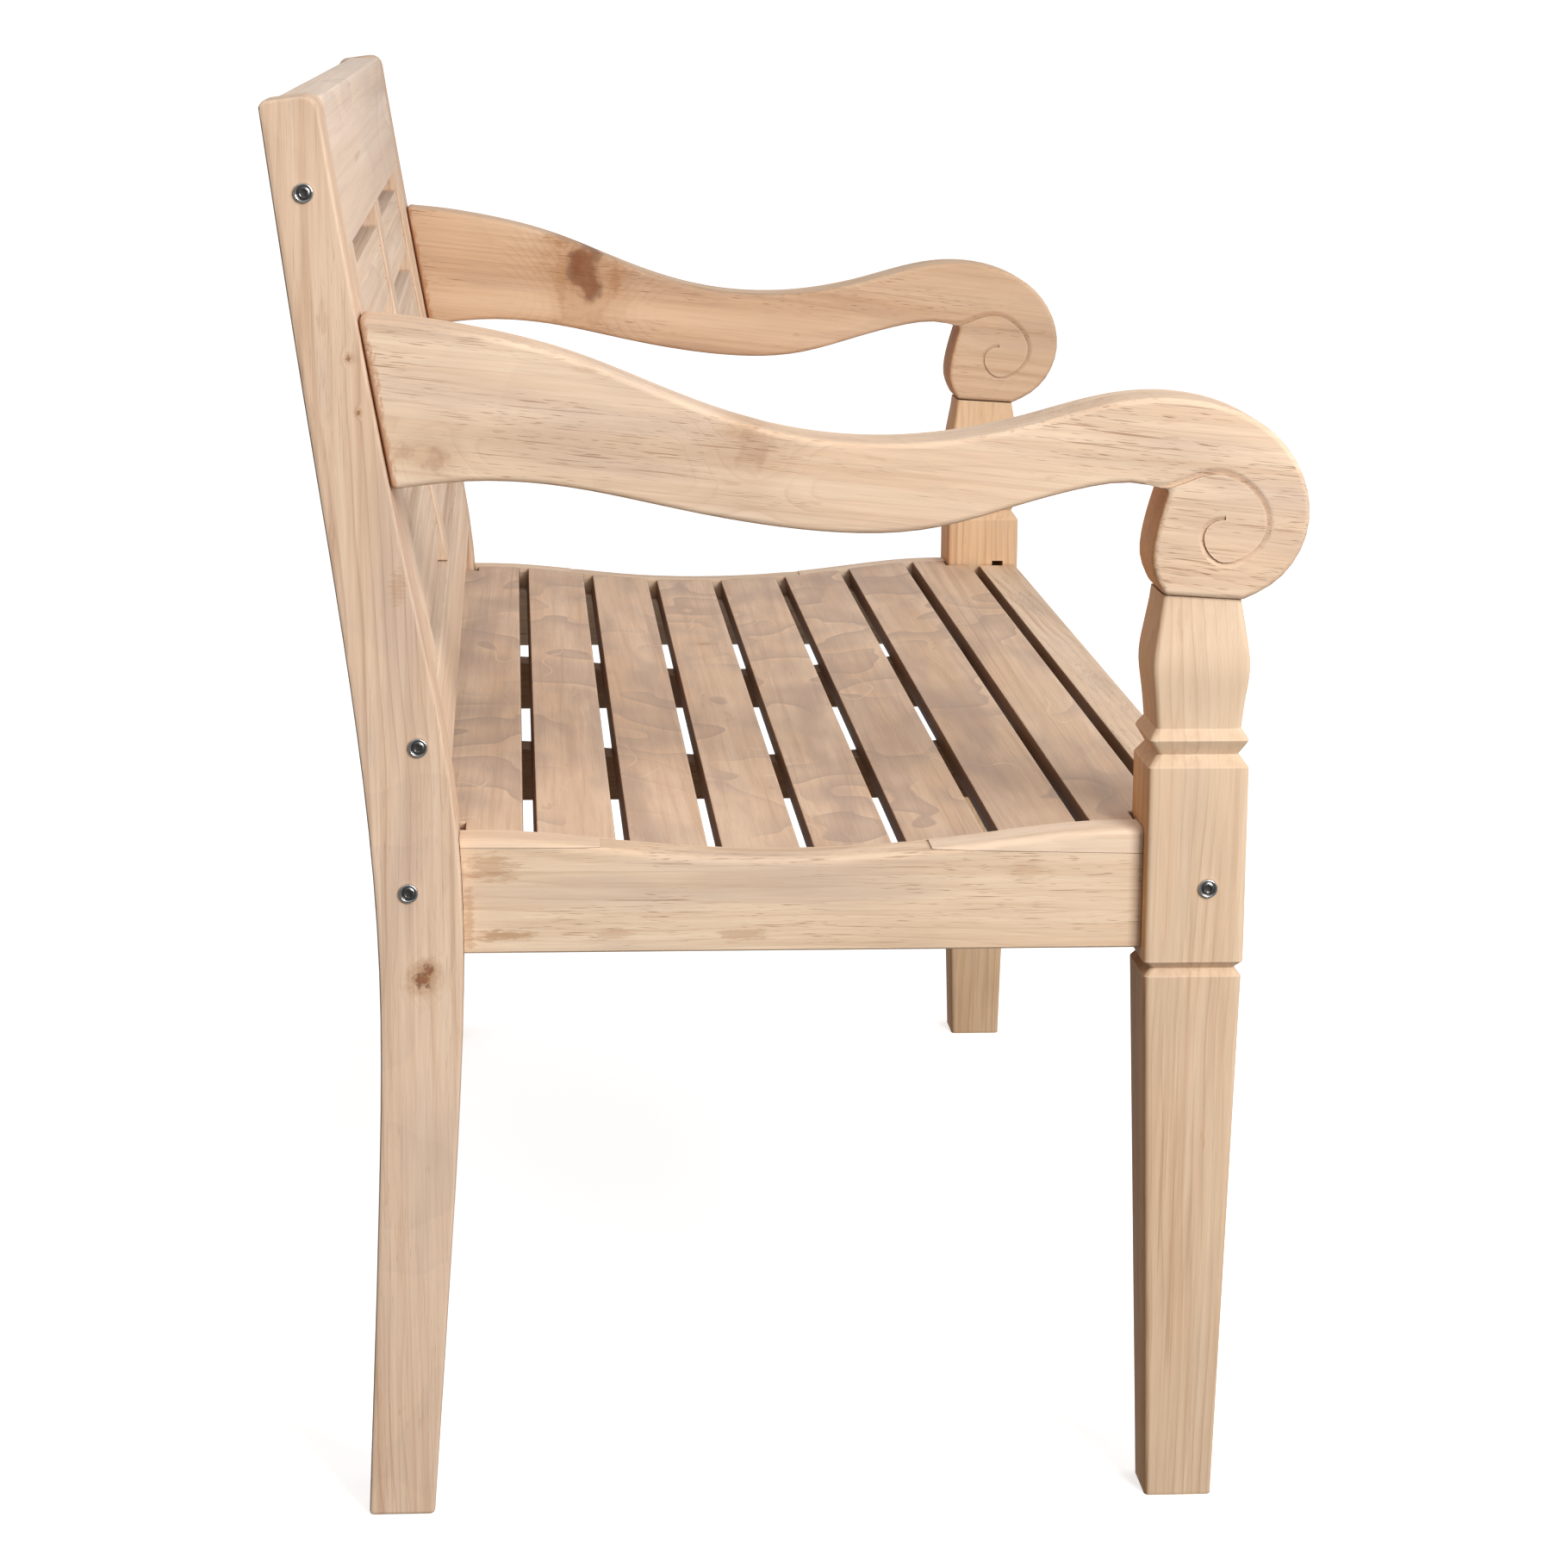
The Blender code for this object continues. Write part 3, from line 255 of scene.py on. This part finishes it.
class Graph:
    """Short names for adding and linking shader nodes in one tree."""

    def __init__(self, tree):
        self.tree = tree

    def node(self, kind, **settings):
        result = self.tree.nodes.new(kind)
        for key, value in settings.items():
            setattr(result, key, value)
        return result

    def link(self, source, target):
        if isinstance(source, bpy.types.NodeSocket):
            self.tree.links.new(source, target)
        else:
            target.default_value = source

    def math(self, operation, a, b=0.0, c=0.0):
        result = self.node("ShaderNodeMath", operation=operation)
        for value, socket in zip((a, b, c), result.inputs):
            self.link(value, socket)
        return result.outputs[0]

    def vector(self, operation, a, b=(0.0, 0.0, 0.0), c=(0.0, 0.0, 0.0)):
        result = self.node("ShaderNodeVectorMath", operation=operation)
        for value, socket in zip((a, b, c), result.inputs):
            self.link(value, socket)
        gives_number = operation in ("LENGTH", "DISTANCE", "DOT_PRODUCT")
        return result.outputs["Value" if gives_number else "Vector"]

    def split(self, vector):
        """The x, y and z of a vector."""
        parts = self.node("ShaderNodeSeparateXYZ")
        self.link(vector, parts.inputs[0])
        return parts.outputs

    def noise(self, place, stretch, detail=2.0, rough=0.5):
        """Noise between 0 and 1 whose features are 1/stretch metres long on each axis."""
        result = self.node("ShaderNodeTexNoise", noise_dimensions="3D")
        self.link(self.vector("MULTIPLY", place, stretch), result.inputs["Vector"])
        result.inputs["Scale"].default_value = 1.0
        result.inputs["Detail"].default_value = detail
        result.inputs["Roughness"].default_value = rough
        return result.outputs["Fac"]

    def scatter(self, place, scale, detail):
        """A noise vector, about zero, whose features are 1/scale metres long."""
        result = self.node("ShaderNodeTexNoise", noise_dimensions="3D")
        self.link(place, result.inputs["Vector"])
        result.inputs["Scale"].default_value = scale
        result.inputs["Detail"].default_value = detail
        return self.vector("SUBTRACT", result.outputs["Color"], (0.5, 0.5, 0.5))

    def ramp(self, value, stops):
        result = self.node("ShaderNodeValToRGB")
        elements = result.color_ramp.elements
        while len(elements) < len(stops):
            elements.new(0.5)
        for element, (position, level) in zip(elements, stops):
            element.position = position
            element.color = (level, level, level, 1.0)
        self.link(value, result.inputs["Fac"])
        return result.outputs["Color"]

    def step(self, value, low, high):
        """0 at low and 1 at high, smoothly between."""
        result = self.node("ShaderNodeMapRange", interpolation_type="SMOOTHSTEP")
        self.link(value, result.inputs["Value"])
        result.inputs["From Min"].default_value = low
        result.inputs["From Max"].default_value = high
        return result.outputs["Result"]

    def mix(self, amount, a, b, blend="MIX"):
        result = self.node("ShaderNodeMix", data_type="RGBA", blend_type=blend)
        self.link(amount, result.inputs["Factor"])
        self.link((*a, 1.0) if isinstance(a, tuple) else a, result.inputs["A"])
        self.link((*b, 1.0) if isinstance(b, tuple) else b, result.inputs["B"])
        return result.outputs["Result"]

    def bump(self, height, strength, distance):
        result = self.node("ShaderNodeBump")
        result.inputs["Strength"].default_value = strength
        result.inputs["Distance"].default_value = distance
        self.link(height, result.inputs["Height"])
        return result.outputs["Normal"]


def new_material(name):
    """A new material, with the Graph and the shader that make it."""
    material = bpy.data.materials.new(name)
    material.use_nodes = True
    return material, Graph(material.node_tree), material.node_tree.nodes["Principled BSDF"]


# Studio


def area_light(name, place, target, size, power):
    data = bpy.data.lights.new(name, "AREA")
    data.shape = "RECTANGLE"
    data.size, data.size_y = size
    data.energy = power
    light = bpy.data.objects.new(name, data)
    aim = Vector(target) - Vector(place)
    light.matrix_world = Matrix.Translation(place) @ aim.to_track_quat("-Z", "Y").to_matrix().to_4x4()
    bpy.context.scene.collection.objects.link(light)


def make_floor():
    """A white floor whose glow hides shadows, but doesn't light the bench from below."""
    shape = bmesh.new()
    bmesh.ops.create_grid(shape, x_segments=1, y_segments=1, size=FLOOR_SIZE)
    mesh = bpy.data.meshes.new("floor")
    shape.to_mesh(mesh)
    shape.free()
    floor = bpy.data.objects.new("floor", mesh)
    bpy.context.scene.collection.objects.link(floor)
    paint, _, shader = new_material("floor_paint")
    shader.inputs["Base Color"].default_value = (0.90, 0.90, 0.90, 1.0)
    shader.inputs["Roughness"].default_value = 0.9
    shader.inputs["Specular IOR Level"].default_value = 0.1
    shader.inputs["Emission Color"].default_value = (1.0, 1.0, 1.0, 1.0)
    shader.inputs["Emission Strength"].default_value = FLOOR_GLOW
    mesh.materials.append(paint)
    floor.visible_diffuse = False
    floor.visible_glossy = False
    floor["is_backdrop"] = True


def make_surround():
    """A white studio that is brighter overhead, past the bench's far end and in front than elsewhere."""
    world = bpy.data.worlds.new("studio")
    world.use_nodes = True
    g = Graph(world.node_tree)
    x, y, z = g.split(g.node("ShaderNodeTexCoord").outputs["Generated"])
    strength = g.math("MULTIPLY_ADD", g.step(x, 0.80, 0.93), SURROUND_BACKDROP, SURROUND_LOW)
    strength = g.math("MULTIPLY_ADD", g.step(z, 0.25, 0.95), SURROUND_SKY, strength)
    strength = g.math("MULTIPLY_ADD", g.step(y, -0.1, -0.8), SURROUND_FRONT, strength)
    sky = world.node_tree.nodes["Background"]
    sky.inputs["Color"].default_value = (1.0, 1.0, 1.0, 1.0)
    g.link(strength, sky.inputs["Strength"])
    bpy.context.scene.world = world


def make_studio():
    make_floor()
    make_surround()
    for name, (place, target, size, power) in LAMPS.items():
        area_light(name, place, target, size, power)
    bpy.context.scene.view_settings.view_transform = "Standard"


# Wood


def streaks_and_lines(g, given, grain):
    """Broad tone, soft streaks and straight darker lines; also the tone and the lines for the relief."""
    broad = g.noise(grain, (2.0, 34.0, 34.0), 3.0, 0.55)
    streak = g.noise(grain, (3.5, 170.0, 170.0), 3.0, 0.6)
    colour = g.mix(g.step(broad, 0.30, 0.70), CREAM, PEACH)
    colour = g.mix(g.math("MULTIPLY", g.step(streak, 0.42, 0.74), given["Streaks"]), colour, TAN)
    line_place = g.step(g.noise(grain, (1.0, 26.0, 26.0), 2.0), 0.40, 0.60)
    line = g.math("MULTIPLY", g.step(g.noise(grain, (1.0, 330.0, 330.0), 2.0), 0.52, 0.66), line_place)
    return g.mix(g.math("MULTIPLY", line, given["Lines"]), colour, LINE), broad, line


def growth_rings(g, given, grain, colour):
    """Rings round a pith that wanders along the piece; also how late in its year each place grew."""
    away = g.vector("SUBTRACT", given["Grain"], given["Pith"])
    radius = g.vector("LENGTH", g.vector("MULTIPLY", away, (0.0, 1.0, 1.0)))
    wander = g.math("MULTIPLY", g.noise(grain, (2.6, 8.0, 8.0), 2.0), RING_WANDER)
    bent = g.math("ADD", g.math("ADD", radius, wander), given["Warp"])
    uneven = g.math("MULTIPLY", g.noise(grain, (3.0, 50.0, 50.0), 2.0), 1.2)
    ring = g.math("FRACT", g.math("ADD", g.math("DIVIDE", bent, RING_SPACING), uneven))
    late = g.ramp(ring, ((0.0, 0.10), (0.30, 0.0), (0.75, 0.35), (0.92, 1.0), (1.0, 0.10)))
    ring_place = g.step(g.noise(grain, (3.0, 22.0, 22.0), 2.0), 0.36, 0.62)
    amount = g.math("MULTIPLY", g.math("MULTIPLY", late, ring_place), given["Rings"])
    return g.mix(amount, colour, LINE), late


def flame(g, given, grain, colour):
    """Broad overlapping patches with one crisp edge, and pale hairline cracks among them."""
    bent = g.vector("ADD", grain, g.math("MULTIPLY", given["Warp"], 3.0))
    layer = g.math("FRACT", g.math("MULTIPLY", g.noise(bent, (6.5, 8.0, 8.0), 1.8, 0.45), 6.5))
    patch = g.ramp(layer, ((0.0, 0.0), (0.04, 0.9), (0.20, 0.62), (0.60, 0.30), (1.0, 0.0)))
    patch_place = g.step(g.noise(grain, (5.0, 9.0, 9.0), 1.0), 0.38, 0.56)
    amount = g.math("MULTIPLY", g.math("MULTIPLY", patch, patch_place), given["Flame"])
    colour = g.mix(amount, colour, ROSE_GREY)
    hair = g.math("ABSOLUTE", g.math("SUBTRACT", g.noise(grain, (8.0, 26.0, 26.0), 1.0), 0.5))
    crack_place = g.step(g.noise(grain, (5.0, 16.0, 16.0), 1.0), 0.55, 0.62)
    crack = g.math("MULTIPLY", g.step(hair, 0.010, 0.003), crack_place)
    return g.mix(g.math("MULTIPLY", crack, given["Flame"]), colour, CREAM)


def smudges(g, given, grain, colour):
    """Grey smudges and ragged brown stains."""
    cloud = g.noise(grain, (5.0, 26.0, 26.0), 2.5, 0.55)
    colour = g.mix(g.math("MULTIPLY", g.step(cloud, 0.46, 0.72), given["Grey"]), colour, ROSE_GREY)
    blot = g.noise(grain, (20.0, 75.0, 75.0), 3.0, 0.6)
    return g.mix(g.math("MULTIPLY", g.step(blot, 0.66, 0.72), given["Stains"]), colour, STAIN)


def open_pores(g, given, grain, colour):
    """Short and long open pores in patches; also the pores for the relief."""
    pore_place = g.step(g.noise(grain, (7.0, 45.0, 45.0), 2.0), 0.38, 0.62)
    short_pore = g.step(g.noise(grain, (75.0, 1150.0, 1150.0), 1.0), 0.60, 0.78)
    long_pore = g.step(g.noise(grain, (22.0, 800.0, 800.0), 1.0), 0.62, 0.78)
    pore = g.math("MULTIPLY", g.math("MAXIMUM", short_pore, long_pore), pore_place)
    pore = g.math("MULTIPLY", pore, given["Pores"])
    return g.mix(g.math("MULTIPLY", pore, 0.55), colour, PORE), pore


def teak_group():
    """The figure of teak in grain coordinates, in metres: X along the grain and Y, Z across it."""
    tree = bpy.data.node_groups.new("teak", "ShaderNodeTree")
    face = tree.interface
    for key in ("Grain", "Pith", "Seed"):
        face.new_socket(key, in_out="INPUT", socket_type="NodeSocketVector")
    for key in ("Warp", "Stains", *FIGURE):
        face.new_socket(key, in_out="INPUT", socket_type="NodeSocketFloat")
    face.new_socket("Colour", in_out="OUTPUT", socket_type="NodeSocketColor")
    face.new_socket("Roughness", in_out="OUTPUT", socket_type="NodeSocketFloat")
    face.new_socket("Height", in_out="OUTPUT", socket_type="NodeSocketFloat")
    g = Graph(tree)
    given = g.node("NodeGroupInput").outputs
    grain = g.vector("ADD", given["Grain"], given["Seed"])

    colour, broad, line = streaks_and_lines(g, given, grain)
    colour, late = growth_rings(g, given, grain, colour)
    colour = flame(g, given, grain, colour)
    colour = smudges(g, given, grain, colour)
    colour, pore = open_pores(g, given, grain, colour)
    fibre = g.noise(grain, (28.0, 800.0, 800.0), 3.0, 0.6)
    colour = g.mix(1.0, colour, g.math("MULTIPLY_ADD", fibre, 0.24, 0.88), "MULTIPLY")
    rough = g.math("MULTIPLY_ADD", fibre, 0.20, 0.56)
    height = g.math("MULTIPLY_ADD", fibre, 0.40, g.math("MULTIPLY", g.math("ADD", late, line), -0.25))
    height = g.math("MULTIPLY_ADD", broad, 1.5, height)
    height = g.math("MULTIPLY_ADD", pore, -0.9, height)
    out = g.node("NodeGroupOutput").inputs
    g.link(colour, out["Colour"])
    g.link(rough, out["Roughness"])
    g.link(height, out["Height"])
    return tree


TEAK = teak_group()


def kind_of(node):
    """The kind of piece that a node's name starts with."""
    return next(kind for kind in KINDS if node.startswith(kind))


def knotted(g, place, middle, colour, warp, knot):
    """Adds a knot's uneven heart, broken dark edge and faint rings, and bends the grain round it."""
    centre, half_size, strength = knot
    half_high = half_size[2]
    offset = g.vector("SUBTRACT", place, tuple(middle + Vector(centre)))
    offset = g.vector("MULTIPLY", offset, tuple(1 / half for half in half_size))
    reach = g.vector("LENGTH", offset)
    astray = g.scatter(place, 0.85 / half_high, 3.0)
    uneven = g.vector("LENGTH", g.vector("MULTIPLY_ADD", astray, (2.4, 2.4, 2.4), offset))
    mottle = g.noise(place, (1.4 / half_high,) * 3, 3.0, 0.6)

    ring = g.math("FRACT", g.math("MULTIPLY", uneven, 1.6))
    swirl = g.ramp(ring, ((0.0, 0.4), (0.5, 0.0), (0.9, 1.0), (1.0, 0.4)))
    halo = g.math("MULTIPLY_ADD", swirl, 0.30 * strength, 0.42)
    halo = g.math("MULTIPLY", g.math("MULTIPLY", halo, g.step(uneven, 3.4, 0.8)), strength)
    heart = g.math("MULTIPLY_ADD", mottle, 0.9, 0.50 * strength)
    heart = g.math("MULTIPLY", g.math("MULTIPLY", g.step(uneven, 1.15, 0.65), heart), strength)
    rim = g.step(g.math("ABSOLUTE", g.math("SUBTRACT", uneven, 1.0)), 0.34, 0.05)
    rim = g.math("MULTIPLY", g.math("MULTIPLY", rim, g.step(mottle, 0.42, 0.62)), 0.55 * strength**2)
    colour = g.mix(halo, colour, STAIN)
    colour = g.mix(heart, colour, KNOT)
    colour = g.mix(rim, colour, KNOT_EDGE)
    return colour, g.math("MULTIPLY_ADD", g.step(reach, 5.0, 0.5), half_high * 1.8, warp)


def stained(g, place, middle, colour, stains):
    """Adds brown patches with ragged edges along the grain."""
    ragged = g.math("MULTIPLY_ADD", g.noise(place, (500.0, 75.0, 520.0), 4.0, 0.7), 4.4, -2.2)
    for centre, half_size, strength in stains:
        offset = g.vector("SUBTRACT", place, tuple(middle + Vector(centre)))
        reach = g.vector("LENGTH", g.vector("MULTIPLY", offset, tuple(1 / half for half in half_size)))
        inside = g.step(g.math("ADD", reach, ragged), 1.35, 0.55)
        colour = g.mix(g.math("MULTIPLY", inside, strength), colour, STAIN)
    return colour


def worn_and_highlit_edges(g, place, colour):
    """Paler arrises, broken up along their length: partly rubbed wear, partly a painted highlight where
    edges catch the light.
    """
    bevel = g.node("ShaderNodeBevel", samples=4)
    bevel.inputs["Radius"].default_value = EDGE_WEAR_AND_HIGHLIGHT_RADIUS
    flat = g.node("ShaderNodeNewGeometry").outputs["Normal"]
    rounding = g.math("SUBTRACT", 1.0, g.vector("DOT_PRODUCT", bevel.outputs["Normal"], flat))
    broken = g.step(g.noise(place, (90.0, 90.0, 90.0), 3.0, 0.65), 0.30, 0.62)
    amount = g.math("MULTIPLY", g.step(rounding, 0.010, 0.12), g.math("MULTIPLY_ADD", broken, 0.40, 0.15))
    return g.mix(amount, colour, CREAM)


def painted_crease_shade(g, colour):
    """Painted shade: darkens grooves and joints where ambient occlusion finds them hemmed in."""
    near = g.node("ShaderNodeAmbientOcclusion", samples=4)
    near.inputs["Distance"].default_value = CREASE_SHADE_REACH
    amount = g.math("MULTIPLY", g.step(near.outputs["AO"], 0.75, 0.25), 0.70)
    return g.mix(amount, colour, g.mix(1.0, colour, CREASE_SHADE, "MULTIPLY"))


def chipped_end(g, place, colour):
    """Rough orange-brown chips where an arm butts on the sloping front of its rear leg."""
    _, y, z = g.split(place)
    end = g.math("MULTIPLY_ADD", z, ARM_END_SLOPE, ARM_END_START)
    ragged = g.math("MULTIPLY", g.noise(place, (300.0, 300.0, 120.0), 3.0, 0.65), 0.016)
    depth = g.math("ADD", g.math("SUBTRACT", end, y), ragged)
    return g.mix(g.math("MULTIPLY", g.step(depth, 0.0140, 0.0105), 0.65), colour, CHIP)


def paler_top(g, place, colour):
    """The shaped top of a front post is paler than the block below it."""
    upper_share = g.step(g.split(place)["Z"], PALER_FROM, PALER_TO)
    return g.mix(g.math("MULTIPLY", upper_share, 0.40), colour, CREAM)


def painted_rear_shade(g, colour, kind):
    """Painted shade: slats' edges, and the rear faces of posts, arms and front rail, are darkened and
    browned where they face away from the light.
    """
    normal = g.node("ShaderNodeNewGeometry").outputs["Normal"]
    rearward = g.vector("DOT_PRODUCT", normal, (0.0, 1.0, 0.0))
    if kind == "seat_slat":
        rearward = g.math("ABSOLUTE", rearward)
    kept = REAR_FACE_SHADE if kind in ("front_post", "arm") else SLAT_EDGE_SHADE
    return g.mix(g.step(rearward, 0.55, 0.85), colour, g.mix(1.0, colour, kept, "MULTIPLY"))


def grain_place(g, place, kind, seed, middle):
    """Where a place on a piece lies in grain coordinates, which lean a little, each piece its own way."""
    axis = KINDS[kind][0]
    lean = (0.0, GRAIN_LEAN[0] * math.sin(seed * 2.3), GRAIN_LEAN[1] * math.sin(seed * 1.7))
    if kind == "arm":
        lean = (-ARM_LEAN, 0.0, 0.0)
    mapping = g.node("ShaderNodeMapping", vector_type="POINT")
    turn = [math.radians(a + b) for a, b in zip(GRAIN_TURNS[axis], lean)]
    mapping.inputs["Rotation"].default_value = turn
    if kind in LONG_FIGURE:
        mapping.inputs["Scale"].default_value = (FIGURE_DRAWN_OUT, 1.0, 1.0)
    g.link(g.vector("SUBTRACT", place, tuple(middle)), mapping.inputs["Vector"])
    return mapping.outputs["Vector"]


def weathered(g, place, colour, node, kind):
    """Adds the marks of this kind of piece, painted shade on its rear faces, and its tint, which is
    painted shade for a few pieces; then paler edges, partly wear and partly painted highlight, and
    painted shade in creases on top.
    """
    if kind == "arm":
        colour = chipped_end(g, place, colour)
    if kind in REAR_SHADED_KINDS:
        colour = painted_rear_shade(g, colour, kind)
    if kind == "front_post":
        colour = paler_top(g, place, colour)
    colour = g.mix(1.0, colour, TINTS_AND_PAINTED_SHADE.get(node, TINTS_AND_PAINTED_SHADE.get(kind, WHITE)), "MULTIPLY")
    return painted_crease_shade(g, worn_and_highlit_edges(g, place, colour))


def wood(node):
    """A piece's own teak, cut from its own place in a tree; a lip's runs on from its side rail's."""
    kind = kind_of(node)
    _, pith, figure = KINDS[kind]
    timber = re.sub("^rail_lip_(front|rear)", "side_rail", node)
    seed = sorted(SLOT_OF).index(timber)
    low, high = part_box(timber)
    middle = (low + high) / 2
    material, g, shader = new_material(f"{node}_teak")
    place = g.node("ShaderNodeTexCoord").outputs["Object"]
    teak = g.node("ShaderNodeGroup", node_tree=TEAK)
    g.link(grain_place(g, place, kind, seed, middle), teak.inputs["Grain"])
    teak.inputs["Pith"].default_value = pith
    teak.inputs["Seed"].default_value = tuple(seed * step for step in SEED_STEPS)
    teak.inputs["Stains"].default_value = 0.25
    for key, amount in zip(FIGURE, figure):
        teak.inputs[key].default_value = amount

    colour, warp = teak.outputs["Colour"], 0.0
    for knot in KNOTS.get(node, ()):
        colour, warp = knotted(g, place, middle, colour, warp, knot)
    g.link(warp, teak.inputs["Warp"])
    colour = stained(g, place, middle, colour, STAINS.get(node, ()))
    g.link(weathered(g, place, colour, node, kind), shader.inputs["Base Color"])
    g.link(teak.outputs["Roughness"], shader.inputs["Roughness"])
    shader.inputs["Specular IOR Level"].default_value = 0.35
    g.link(g.bump(teak.outputs["Height"], 0.55, FIBRE_RELIEF), shader.inputs["Normal"])
    return material


def file_piece(piece, node, material):
    """Puts a finished piece in the scene in place of its node."""
    bpy.context.scene.collection.objects.link(piece)
    piece.data.materials.append(material)
    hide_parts(node)
    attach(piece, "root")


def shade_smoothly(shape, mesh):
    """Writes the shape to the mesh, smoothly shaded except across its sharp edges."""
    shape.to_mesh(mesh)
    shape.free()
    mesh.shade_smooth()
    mesh.set_sharp_from_angle(angle=SHARP_ANGLE)


def wooden_piece(node):
    """The node's own shape with its facets welded, so that rounded faces shade smoothly."""
    source = frame["nodes"][node].data
    mesh = bpy.data.meshes.new(f"{node}_wood")
    mesh.from_pydata([v.co for v in source.vertices], [], [p.vertices[:] for p in source.polygons])
    shape = bmesh.new()
    shape.from_mesh(mesh)
    bmesh.ops.remove_doubles(shape, verts=shape.verts, dist=WELD_DISTANCE)
    bmesh.ops.dissolve_limit(shape, angle_limit=FLAT_ANGLE, verts=shape.verts, edges=shape.edges)
    shade_smoothly(shape, mesh)
    piece = bpy.data.objects.new(f"{node}_wood", mesh)
    normals = piece.modifiers.new("flat_faces_lead", "WEIGHTED_NORMAL")
    normals.keep_sharp = True
    file_piece(piece, node, wood(node))


# Bolts and washers


def steel(name, colour, roughness):
    """Polished steel with fine turning marks and a little dulling."""
    material, g, shader = new_material(name)
    shader.inputs["Metallic"].default_value = 1.0
    place = g.node("ShaderNodeTexCoord").outputs["Object"]
    dull = g.noise(place, (400.0, 400.0, 400.0), 3.0)
    darker = tuple(0.75 * level for level in colour)
    g.link(g.mix(g.step(dull, 0.45, 0.75), colour, darker), shader.inputs["Base Color"])
    g.link(g.math("MULTIPLY_ADD", dull, 0.12, roughness), shader.inputs["Roughness"])
    marks = g.noise(place, (1500.0, 1500.0, 1500.0), 1.0)
    g.link(g.bump(marks, 0.15, 0.0001), shader.inputs["Normal"])
    return material


def ring_points(x, centre, radius, six_sided):
    """Points round a ring square to X, or round the hexagon that the ring would just fit in."""
    for i in range(TURNED_SIDES):
        angle = 2 * math.pi * i / TURNED_SIDES
        reach = radius
        if six_sided:
            reach /= math.cos(angle % (math.pi / 3) - math.pi / 6)
        yield x, centre.y + reach * math.cos(angle), centre.z + reach * math.sin(angle)


def turned(name, profile, node):
    """A turned solid on the node's own axis along X, from (radius, height, six-sided) rings.

    Heights are measured out from the outer end of the node. A ring of no radius is a point, and a
    profile that doesn't start at a point closes on itself.
    """
    low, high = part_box(node)
    outward = 1 if low.x + high.x > 0 else -1
    face_x = high.x if outward > 0 else low.x
    centre = (low + high) / 2
    shape = bmesh.new()
    rings = []
    for radius, height, six_sided in profile:
        x = face_x + outward * height
        points = ring_points(x, centre, radius, six_sided) if radius else [(x, centre.y, centre.z)]
        rings.append([shape.verts.new(point) for point in points])
    if len(rings[0]) > 1:
        rings.append(rings[0])
    for before, after in zip(rings, rings[1:]):
        for i in range(TURNED_SIDES):
            beside = (i + 1) % TURNED_SIDES
            corners = [before[i % len(before)], before[beside % len(before)]]
            corners += [after[beside % len(after)], after[i % len(after)]]
            shape.faces.new(list(dict.fromkeys(corners)))
    bmesh.ops.recalc_face_normals(shape, faces=shape.faces)
    mesh = bpy.data.meshes.new(name)
    shade_smoothly(shape, mesh)
    return bpy.data.objects.new(name, mesh)


def crown(inner, outer, shoulder):
    """The half-round top of a ring, from its inner wall to its outer one."""
    middle, half = (inner + outer) / 2, (outer - inner) / 2
    angles = [math.pi * (1 - i / CROWN_STEPS) for i in range(CROWN_STEPS + 1)]
    return [(middle + half * math.cos(a), shoulder + half * math.sin(a), False) for a in angles]


def washer_piece(node, material):
    """A raised half-round ring with a recessed floor."""
    low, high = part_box(node)
    outer = (high.y - low.y) / 2
    thick = high.x - low.x
    inner = outer * WASHER_INNER
    bore = outer * WASHER_BORE
    floor = -thick * WASHER_FLOOR
    profile = [
        (bore, -thick, False),
        (bore, floor, False),
        (inner, floor, False),
        *crown(inner, outer, -thick * WASHER_SHOULDER),
        (outer, -thick, False),
    ]
    file_piece(turned(f"{node}_ring", profile, node), node, material)


def bolt_piece(node, material):
    """A low domed head with a hexagon socket, on its shank."""
    low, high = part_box(node)
    head = (high.y - low.y) / 2
    long = high.x - low.x
    shank = head * SHANK_SHARE
    socket = head * SOCKET_SHARE
    profile = [
        (0.0, -SOCKET_POINT, False),
        (socket, -SOCKET_DEPTH, True),
        (socket, -0.0003, True),
        (socket * SOCKET_CHAMFER, -0.0001, False),
        (head * 0.82, -0.00025, False),
        (head * 0.97, -0.0006, False),
        (head, -HEAD_THICK, False),
        (shank, -HEAD_THICK - 0.0001, False),
        (shank, -long, False),
        (0.0, -long, False),
    ]
    file_piece(turned(f"{node}_turned", profile, node), node, material)


def dress_nodes():
    bright = steel("bright_steel", RING_STEEL, 0.14)
    dark = steel("bolt_steel", BOLT_STEEL, 0.24)
    for node in SLOT_OF:
        if node.startswith("washer"):
            washer_piece(node, bright)
        elif node.startswith("bolt"):
            bolt_piece(node, dark)
        else:
            wooden_piece(node)


make_camera()
make_studio()
dress_nodes()
size = {"cad": CAD_BOX, "visual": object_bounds()}
{key: [list(corner) for corner in box] for key, box in size.items()}
